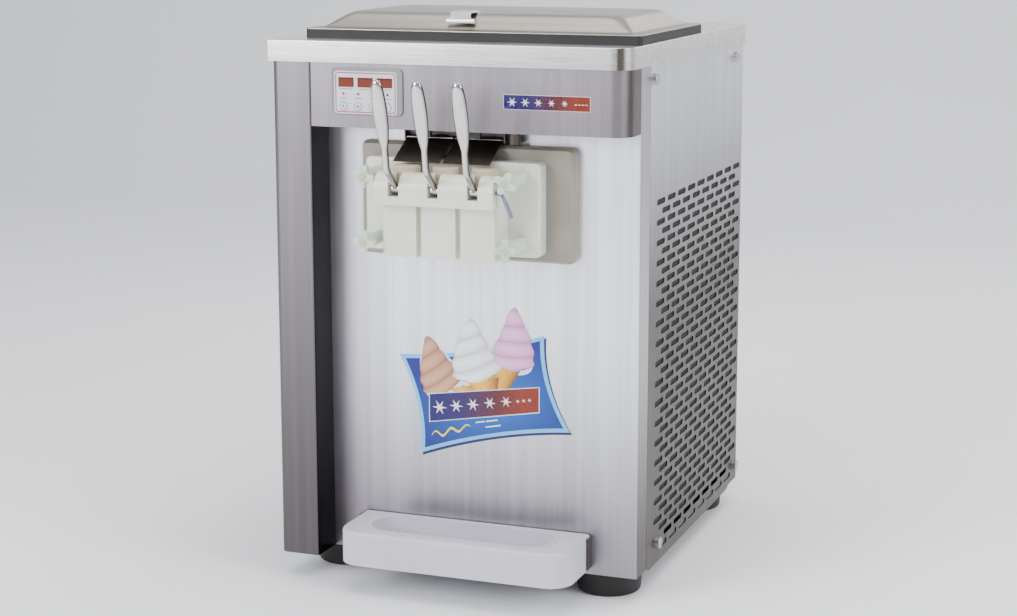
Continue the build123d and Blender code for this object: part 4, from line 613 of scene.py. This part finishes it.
DIGIT_WIDTH = 4.2 * MM
DIGIT_HEIGHT = 8.0 * MM
STROKE = 0.8 * MM
window_pitch = (window_high.x - window_low.x - WINDOW_WIDTH) / 2
window_xs = [window_low.x + WINDOW_WIDTH / 2 + i * window_pitch for i in range(3)]
window_z = (window_low.z + window_high.z) / 2
strokes = []
for window_x in window_xs:
    for digit in (-1.1, 0.0, 1.1):
        x = window_x + digit * 6.2 * MM
        for level in (-1, 0, 1):
            strokes.append(bar(x, window_z + level * DIGIT_HEIGHT / 2, DIGIT_WIDTH - 2.4 * STROKE, STROKE))
        for side in (-1, 1):
            for level in (-0.5, 0.5):
                strokes.append(bar(x + side * DIGIT_WIDTH / 2, window_z + level * DIGIT_HEIGHT / 2, STROKE,
                                   DIGIT_HEIGHT / 2 - 1.4 * STROKE))
digits = plates("unlit_digits", strokes, window_low.y - 0.05 * MM, window_low.y + SINK)
piece("unlit_digits", digits, ink("unlit_segment", (0.26, 0.06, 0.03), 0.25), "root")

button_xs = [sum(corner.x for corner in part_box(f"button_{i}")) / 2 for i in (1, 2, 3, 4)]
button_low, button_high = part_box("button_1")
button_z = (button_low.z + button_high.z) / 2
lamp_z = button_z + LAMP_RISE
captions = []
for index, x in enumerate(button_xs):
    for shift, width in ((-2.4, 5.0), (2.9, 3.6)):
        captions.append(bar(x + (shift + 0.3 * index) * MM, button_z + 11.4 * MM, width * MM, 1.0 * MM))
for x in window_xs:
    for shift, width in ((-6.0, 8.0), (1.5, 4.6), (7.2, 4.4)):
        captions.append(bar(x + shift * MM, window_low.z - 2.6 * MM, width * MM, 0.9 * MM))
piece("membrane_captions", plates("membrane_captions", captions, print_y - PRINT, print_y + SINK),
      caption_ink, "root")

lamp_red = moulded("lamp_red", (0.33, 0.02, 0.03), (0.27, 0.015, 0.025), 0.2, pores=0.0, coat=0.5)
for index, x in enumerate(button_xs):
    lens = turned(f"pilot_lamp_{index + 1}", dome_profile(LAMP_RADIUS, print_y, 0.8 * MM, SINK, 7), x,
                  lamp_z, 24)
    piece(f"pilot_lamp_{index + 1}", lens, lamp_red, "root")


def turned_bar(x, z, reach, width, angle):
    """The outline of a bar through (x, z), turned by an angle."""
    c, s = math.cos(angle), math.sin(angle)
    return [(x + c * a - s * b, z + s * a + c * b)
            for a, b in ((-reach, -width), (reach, -width), (reach, width), (-reach, width))]


button_film = moulded("button_film", (0.66, 0.68, 0.72), (0.60, 0.62, 0.66), 0.32, pores=0.03, coat=0.2)
for index, x in enumerate(button_xs):
    body = f"button_{index + 1}"
    dress(button_film, body)
    front, back = button_low.y - SINK, button_low.y + SINK
    piece(body + "_ring", round_band(x, button_z, 5.5 * MM, 4.8 * MM, front, back, body + "_ring"), grey_ink,
          body,
          angle=30.0)
    spokes = (3, 4, 2, 1)[index]
    sign = [turned_bar(x, button_z, (3.3 - 0.2 * index) * MM, 0.32 * MM, math.pi * k / spokes + 0.5 * math.pi)
            for k in range(spokes)]
    sign_meshes = plates(body + "_sign", sign, front, back)
    piece(body + "_sign", sign_meshes, grey_ink, body)

# ------------------------------------------------------------ badge plate
# Thin printed aluminium plate, blue at its left end and russet at its right, with a white keyline and a
# row of plain snow crystals.

BADGE_WIDTH = 125 * MM
BADGE_HEIGHT = 20 * MM
fascia_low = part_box("front_fascia")[0]
badge_x = 150.5 * MM
badge_z = panel_high - 47 * MM


def two_tone_ink(name, x_low, x_high, stops):
    """Ink that fades along X through a list of (place, colour) stops."""
    made, tree, skin = new_material(name)
    fade = shader(tree, "ValToRGB", {0: ranged(tree, along(tree, "X"), x_low, x_high, 0.0, 1.0)})
    band = fade.color_ramp
    while len(band.elements) < len(stops):
        band.elements.new(0.5)
    for element, (place, colour) in zip(band.elements, stops):
        element.position = place
        element.color = tint(*colour)
    tree.links.new(fade.outputs["Color"], skin.inputs["Base Color"])
    mottle = placed(tree, handled, {"Size": 60.0}).outputs["Smear"]
    tree.links.new(ranged(tree, mottle, 0.0, 1.0, 0.25, 0.34), skin.inputs["Roughness"])
    return made


def crystal(x, z, size):
    """A six-armed snow crystal outline: the radius swings between a thin waist and pointed arms."""
    turn = np.arange(24) / 24 * 2 * math.pi
    radius = size * np.where(np.arange(24) % 4 == 0, 1.0, np.where(np.arange(24) % 4 == 2, 0.28, 0.42))
    return np.column_stack([x + radius * np.cos(turn), z + radius * np.sin(turn)])


badge_stops = [(0.0, (0.002, 0.002, 0.10)), (0.3, (0.018, 0.006, 0.09)), (0.62, (0.09, 0.009, 0.014)),
               (0.85, (0.20, 0.018, 0.002)), (1.0, (0.18, 0.014, 0.002))]
badge_ink = two_tone_ink("badge_ink", badge_x - BADGE_WIDTH / 2, badge_x + BADGE_WIDTH / 2, badge_stops)
white_ink = ink("white_ink", (0.86, 0.87, 0.90))
fascia_y = fascia_low.y
piece("badge_plate",
      plates("badge_plate", [bar(badge_x, badge_z, BADGE_WIDTH, BADGE_HEIGHT)], fascia_y - 0.6 * MM,
                            fascia_y + 0.2 * MM), badge_ink, "root")
badge_middle = fascia_low.copy()
badge_middle.x, badge_middle.z = badge_x, badge_z
keyline = frame_band("badge_keyline", badge_middle, BADGE_WIDTH / 2 + 0.3 * MM, BADGE_HEIGHT / 2 + 0.3 * MM,
                     1.0 * MM, 0.45 * MM, fascia_y - 0.7 * MM, fascia_y + 0.2 * MM)
piece("badge_keyline", keyline, white_ink, "root", angle=30.0)
marks = [crystal(badge_x + (-50 + 19 * i) * MM, badge_z, (7.2 - 0.55 * i) * MM) for i in range(5)]
marks += [bar(badge_x + (42 + 5 * i) * MM, badge_z - 1 * MM, 3.2 * MM, 0.9 * MM) for i in range(4)]
piece("badge_crystals", plates("badge_crystals", marks, fascia_y - 0.72 * MM, fascia_y), white_ink, "root")

# ------------------------------------------------------------ sticker: pennant and cones
# Printed vinyl on the front sheet: a blue pennant with drawn-in sides and a pale border over a navy edge,
# three soft ice creams in wafer cones, a two-tone band and a yellow flourish.

panel_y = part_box("front_panel")[0].y
PENNANT = np.array([[(-65, 191), (166, 242)], [(-97, 337), (127, 380)]]) * MM


def pennant_place(u, v):
    """Corners mixed by u and v, with every side drawn in by a parabola that is deepest at its middle."""
    low = PENNANT[0, 0] * (1 - u) + PENNANT[0, 1] * u
    high = PENNANT[1, 0] * (1 - u) + PENNANT[1, 1] * u
    at = low * (1 - v) + high * v
    pull = np.concatenate([12 * MM * (1 - 2 * u) * 4 * v * (1 - v), 9 * MM * (1 - 2 * v) * 4 * u * (1 - u)],
                          -1)
    return at + pull


def pennant_sheet(name, margin, shift, front):
    """A closed thin sheet over the pennant, drawn in by margin from every side and shifted in its plane."""
    across = np.linspace(margin, 1 - margin, 40)
    up = np.linspace(margin * 1.5, 1 - margin * 1.5, 30)
    u, v = np.meshgrid(across, up)
    at = pennant_place(u[..., None], v[..., None])
    points = np.stack([at[..., 0] + shift[0], np.full_like(u, front), at[..., 1] + shift[1]], -1)
    mesh = skin_mesh(name, points)
    layer = mesh.uv_layers.new(name="UVMap")
    corners = np.zeros(len(mesh.loops), int)
    mesh.loops.foreach_get("vertex_index", corners)
    layer.data.foreach_set("uv", np.column_stack([u.ravel()[corners], v.ravel()[corners]]).ravel())
    return mesh


def glow_ink(name, edge, middle, centre, reach):
    """Ink that is lighter round a centre given in the sheet's own UV map."""
    made, tree, skin = new_material(name)
    place = shader(tree, "UVMap", uv_map="UVMap").outputs["UV"]
    gap = shader(tree, "VectorMath", {0: place, 1: (*centre, 0.0)}, operation="DISTANCE").outputs["Value"]
    tree.links.new(blended(tree, ranged(tree, gap, 0.0, reach, 1.0, 0.0), tint(*edge), tint(*middle)),
                   skin.inputs["Base Color"])
    mottle = placed(tree, handled, {"Size": 30.0}).outputs["Smear"]
    tree.links.new(ranged(tree, mottle, 0.0, 1.0, 0.3, 0.4), skin.inputs["Roughness"])
    return made


piece("pennant_edge", pennant_sheet("pennant_edge", 0.0, (3.2 * MM, -3.2 * MM), panel_y - 0.12 * MM),
      glow_ink("navy_ink", (0.007, 0.005, 0.07), (0.012, 0.010, 0.11), (0.5, 0.5), 0.8), "root")
piece("pennant_border", pennant_sheet("pennant_border", 0.0, (0, 0), panel_y - 0.24 * MM),
      glow_ink("sky_ink", (0.13, 0.44, 0.84), (0.16, 0.50, 0.88), (0.2, 0.6), 0.9), "root")
piece("pennant_field", pennant_sheet("pennant_field", 0.028, (0, 0), panel_y - 0.36 * MM),
      glow_ink("azure_ink", (0.005, 0.014, 0.19), (0.002, 0.135, 0.50), (0.55, 0.42), 0.62), "root")


def tone_sheet(name, points, tones):
    """A grid sheet that carries its own colour at every point, as an attribute called tone."""
    mesh = skin_mesh(name, points)
    layer = mesh.attributes.new("tone", "FLOAT_COLOR", "POINT")
    layer.data.foreach_set("color", np.concatenate([tones, np.ones((*tones.shape[:2], 1))], -1).ravel())
    return mesh


picture_ink, tree, skin = new_material("picture_ink")
tree.links.new(shader(tree, "Attribute", attribute_name="tone").outputs["Color"], skin.inputs["Base Color"])
mottle = placed(tree, handled, {"Size": 40.0}).outputs["Smear"]
tree.links.new(ranged(tree, mottle, 0.0, 1.0, 0.36, 0.46), skin.inputs["Roughness"])


def wafer(name, rim_left, rim_right, tip, front, shade):
    """A wafer cone: u runs round its face and v from the rim to the tip; the tone falls off like a
    cylinder's and darkens along two crossing sets of lines."""
    u, v = np.meshgrid(np.linspace(0, 1, 60), np.linspace(0, 1, 70))
    rim = np.array(rim_left) * (1 - u[..., None]) + np.array(rim_right) * u[..., None]
    foot = np.array(tip) + (u[..., None] - 0.5) * np.array([9.0, 0.0])
    at = (rim * (1 - v[..., None]) + foot * v[..., None]) * MM
    light = 0.50 + 0.55 * np.cos((u - 0.34) * math.pi * 1.05)
    lattice = np.minimum(np.abs(np.sin((u * 3.0 + v * 3.4) * math.pi)),
                         np.abs(np.sin((u * 3.0 - v * 3.4) * math.pi)))
    light = light * (0.78 + 0.22 * np.clip(lattice * 3.2, 0, 1)) * shade
    tones = (np.array([0.88, 0.44, 0.035]) * light[..., None]
             + np.array([0.10, 0.0, 0.0]) * (1 - light[..., None]))
    points = np.stack([at[..., 0], np.full_like(u, panel_y - front * MM), at[..., 1]], -1)
    return tone_sheet(name, points, np.clip(tones, 0, 1))


def swirl(name, base, top, half_width, light, dark, front, turns=4.2, hook=1.0):
    """Soft ice cream seen from the front: u runs across and v up the spine. The half width shrinks from the
    base to the tip in scallops, one per turn; the tone follows slanted folds of that period, shaded like a
    rolled rope lit from the upper left, and the tip bends aside."""
    u, v = np.meshgrid(np.linspace(-1, 1, 90), np.linspace(0, 1, 140))
    base, top = np.array(base, float), np.array(top, float)
    spine = top - base
    across = np.array([spine[1], -spine[0]]) / np.linalg.norm(spine)
    fold = v ** 0.9 * turns - 0.30 * u * (1 - v)
    roll = fold - np.floor(fold)
    body = np.sqrt(np.clip(1 - v ** 1.5, 0, 1)) * (0.62 + 0.38 * np.cos(v * math.pi * 0.62))
    foot = np.clip(v / 0.10, 0, 1) ** 0.5
    scallop = 0.90 + 0.10 * np.sqrt(np.sin(math.pi * (v ** 0.9 * turns % 1.0)) ** 2 + 0.02)
    wide = half_width * (body * scallop * (0.62 + 0.38 * foot) + 0.02)
    sway = hook * 6.0 * np.sin(v * math.pi * 1.6) * v
    at = base + spine * v[..., None] + across * (u * wide + sway)[..., None]
    at = at + np.array([0.0, -1.0]) * ((1 - u ** 2) * 7.0 * (1 - v) ** 2)[..., None]
    rope = np.sin(math.pi * np.clip(roll, 0, 1)) ** 0.55
    lit = (0.34 + 0.66 * rope) * (0.72 + 0.30 * np.cos((u + 0.35) * 1.25))
    lit = lit * (1 - 0.35 * np.clip((np.abs(u) - 0.75) / 0.25, 0, 1) ** 2)
    mix = np.clip(lit, 0, 1)[..., None]
    tones = np.array(dark) * (1 - mix) + np.array(light) * mix
    points = np.stack([at[..., 0] * MM, np.full_like(u, panel_y - front * MM), at[..., 1] * MM], -1)
    return tone_sheet(name, points, tones)


def halo(name, base, top, half_width, front):
    """The pale glow printed round a scoop: a plain rounded blob a little larger than it."""
    u, v = np.meshgrid(np.linspace(-1, 1, 40), np.linspace(0, 1, 60))
    base, top = np.array(base, float), np.array(top, float)
    spine = top - base
    across = np.array([spine[1], -spine[0]]) / np.linalg.norm(spine)
    wide = (half_width + 4.5) * np.sqrt(np.clip(1 - (2 * v - 1) ** 4, 0, 1)) * (1.0 - 0.55 * v)
    at = base - spine * 0.14 + spine * 0.95 * v[..., None] + across * (u * wide)[..., None]
    rim = np.clip(1 - np.abs(u), 0, 1)[..., None]
    tones = np.array([0.55, 0.74, 0.92]) * (1 - rim) + np.array([0.88, 0.93, 0.97]) * rim
    points = np.stack([at[..., 0] * MM, np.full_like(u, panel_y - front * MM), at[..., 1] * MM], -1)
    return tone_sheet(name, points, tones)


cones = (("cocoa", (-24, 292), (-60, 363), 35, (0.62, 0.33, 0.20), (0.13, 0.035, 0.015), (-22, 292),
          (22, 300),
          0.46, 0.62, -1.0, 0.40, 1.0),
         ("berry", (76, 332), (88, 417), 35, (0.80, 0.42, 0.70), (0.34, 0.05, 0.24), (50, 330), (98, 338),
          0.44, 0.60, 1.0, 0.40, 0.85),
         ("milk", (27, 311), (6, 396), 39, (0.93, 0.93, 0.94), (0.28, 0.30, 0.35), (6, 308), (58, 314),
          0.70, 0.76, -1.0, 0.41, 1.0))
for (flavour, base, top, width, light, dark, rim_left, rim_right, cone_front, scoop_front, hook, glow_front,
     shade) in cones:
    name = f"sticker_{flavour}_"
    for made in (halo(name + "glow", base, top, width, glow_front),
                 wafer(name + "cone", rim_left, rim_right, (48, 262), cone_front, shade),
                 swirl(name + "scoop", base, top, width, light, dark, scoop_front, hook=hook)):
        piece(made.name, made, picture_ink, "root")

BAND = np.array([(-49.5, 240), (119, 268), (119, 303.5), (-49.5, 280.5)]) * MM
band_ink = two_tone_ink("band_ink", BAND[0, 0], BAND[1, 0], badge_stops)
grown = BAND + np.array([(-1, -1), (1, -1), (1, 1), (-1, 1)]) * 1.3 * MM
piece("sticker_band_edge", plates("sticker_band_edge", [grown], panel_y - 0.86 * MM, panel_y - 0.1 * MM),
      ink("pale_ink", (0.62, 0.72, 0.86)), "root")
piece("sticker_band", plates("sticker_band", [BAND], panel_y - 0.95 * MM, panel_y - 0.1 * MM), band_ink,
      "root")
slope = (BAND[1, 1] - BAND[0, 1]) / (BAND[1, 0] - BAND[0, 0])
marks = [crystal(x * MM, BAND[0, 1] + slope * (x * MM - BAND[0, 0]) + 19.5 * MM, size * MM)
         for x, size in ((-34, 11.5), (-8, 10.5), (18, 10.0), (44, 9.5), (69, 8.6))]
marks += [crystal(x * MM, BAND[0, 1] + slope * (x * MM - BAND[0, 0]) + 18.5 * MM, 3.2 * MM)
          for x in (87, 96, 105)]
piece("sticker_band_crystals",
      plates("sticker_band_crystals", marks, panel_y - 1.04 * MM, panel_y - 0.1 * MM),
      white_ink, "root")


def flourish(name, start, end, waves, height, width, front):
    """A hand-drawn wave between two points: a sine line whose stroke swells in the middle."""
    t, side = np.meshgrid(np.linspace(0, 1, 90), np.array([-1.0, 1.0]))
    start, end = np.array(start, float), np.array(end, float)
    at = start + (end - start) * t[..., None]
    lift = height * np.sin(t * waves * 2 * math.pi) * (1 - 0.4 * t)
    lift = lift + side * width * (0.25 + np.sin(math.pi * t) ** 0.6)
    points = np.stack([at[..., 0] * MM, np.full_like(t, panel_y - front * MM), (at[..., 1] + lift) * MM], -1)
    return skin_mesh(name, points)


piece("sticker_flourish", flourish("sticker_flourish", (-47, 219), (14, 238), 2.5, 5.0, 1.5, 0.5),
      ink("lemon_ink", (0.86, 0.72, 0.02)), "root")
lines = [turned_bar(x * MM, z * MM, reach * MM, 0.9 * MM, 0.2) for x, z, reach in
         ((29, 245.5, 7), (47, 249, 9), (49, 241, 12))]
piece("sticker_lines", plates("sticker_lines", lines, panel_y - 0.5 * MM, panel_y - 0.1 * MM), white_ink,
      "root")

# ------------------------------------------------------------ drip tray
# One moulding in pale grey plastic with rounded front corners and an obround basin. It hooks over the
# dark bracket on the front sheet and lifts off to be emptied.

dress(moulded("tray_moulding", (0.55, 0.54, 0.59), (0.51, 0.50, 0.55), 0.42, pores=0.10, size=700.0,
              glow=0.05),
      "drip_tray")

# ------------------------------------------------------------ floor, lights and camera
# A plain pale sweep under and behind the machine, cool window-like sources at the front left and at the
# right, an even top light and a low card at the back. The air is brighter overhead than at eye height.

sweep_y = np.concatenate([np.linspace(-7.0, 3.2, 12), 3.2 + 1.6 * np.sin(np.linspace(0.05, math.pi / 2, 16)),
                          np.full(3, 4.8)])
sweep_z = np.concatenate([np.zeros(12), 1.6 - 1.6 * np.cos(np.linspace(0.05, math.pi / 2, 16)),
                          [3.0, 5.0, 7.0]])
sweep_x = np.linspace(-8, 8, 9)
backdrop = skin_mesh("studio_sweep", np.stack([sweep_x + 0 * sweep_y[:, None], sweep_y[:, None] + 0 * sweep_x,
                                               sweep_z[:, None] + 0 * sweep_x], -1))
backdrop.polygons.foreach_set("use_smooth", np.ones(len(backdrop.polygons), bool))
floor_paint, tree, skin = new_material("studio_floor")
smear = placed(tree, handled, {"Size": 0.8}).outputs["Smear"]
tree.links.new(blended(tree, smear, tint(0.93, 0.93, 0.935), tint(0.91, 0.91, 0.915)),
               skin.inputs["Base Color"])
skin.inputs["Roughness"].default_value = 0.7
backdrop.materials.append(floor_paint)
studio = bpy.data.objects.new("studio_sweep", backdrop)
bpy.context.scene.collection.objects.link(studio)

sky = bpy.data.worlds.new("studio_air")
sky.use_nodes = True
tree = sky.node_tree
air = tree.nodes["Background"]
air.inputs["Color"].default_value = tint(0.92, 0.94, 1.0)
tree.links.new(ranged(tree, along(tree, "Z", "TexCoord", "Generated"), 0.0, 0.6, 0.42, 0.80),
               air.inputs["Strength"])
bpy.context.scene.world = sky


def softbox(name, place, target, width, height, power, colour):
    """A rectangular area light at a place, turned to face a target."""
    data = bpy.data.lights.new(name, "AREA")
    data.shape = "RECTANGLE"
    data.size, data.size_y = width, height
    data.energy = power
    data.color = colour
    lamp = bpy.data.objects.new(name, data)
    bpy.context.scene.collection.objects.link(lamp)
    lamp.location = place
    away = np.array(place, float) - np.array(target, float)
    lamp.rotation_euler = (math.atan2(math.hypot(away[0], away[1]), away[2]), 0.0,
                           math.atan2(away[0], -away[1]))
    return lamp


softbox("front_left_window", (-2.2, -3.4, 1.9), (0, 0, 0.4), 1.9, 2.2, 180, (0.93, 0.96, 1.0))
softbox("overhead", (0.2, -0.3, 3.2), (0, 0, 0.4), 3.0, 3.0, 80, (1.0, 0.99, 0.97))
softbox("right_window", (3.4, -0.9, 1.9), (0.2, 0, 0.55), 1.8, 1.6, 95, (0.95, 0.97, 1.0))
softbox("back_card", (1.2, 3.0, 2.4), (0.1, 0, 0.7), 1.6, 1.2, 40, (0.95, 0.97, 1.0))

camera_data = bpy.data.cameras.new("camera")
camera_data.sensor_width = 36.0
camera_data.lens = 71.98
camera_data.shift_x = -0.0147
camera_data.shift_y = -0.0492
camera = bpy.data.objects.new("camera", camera_data)
bpy.context.scene.collection.objects.link(camera)
camera.location = (1.0755, -2.5981 + fascia_y, 0.9806)
camera.rotation_euler = (math.pi / 2 - 0.1716, 0.0, 0.3535)
bpy.context.scene.camera = camera
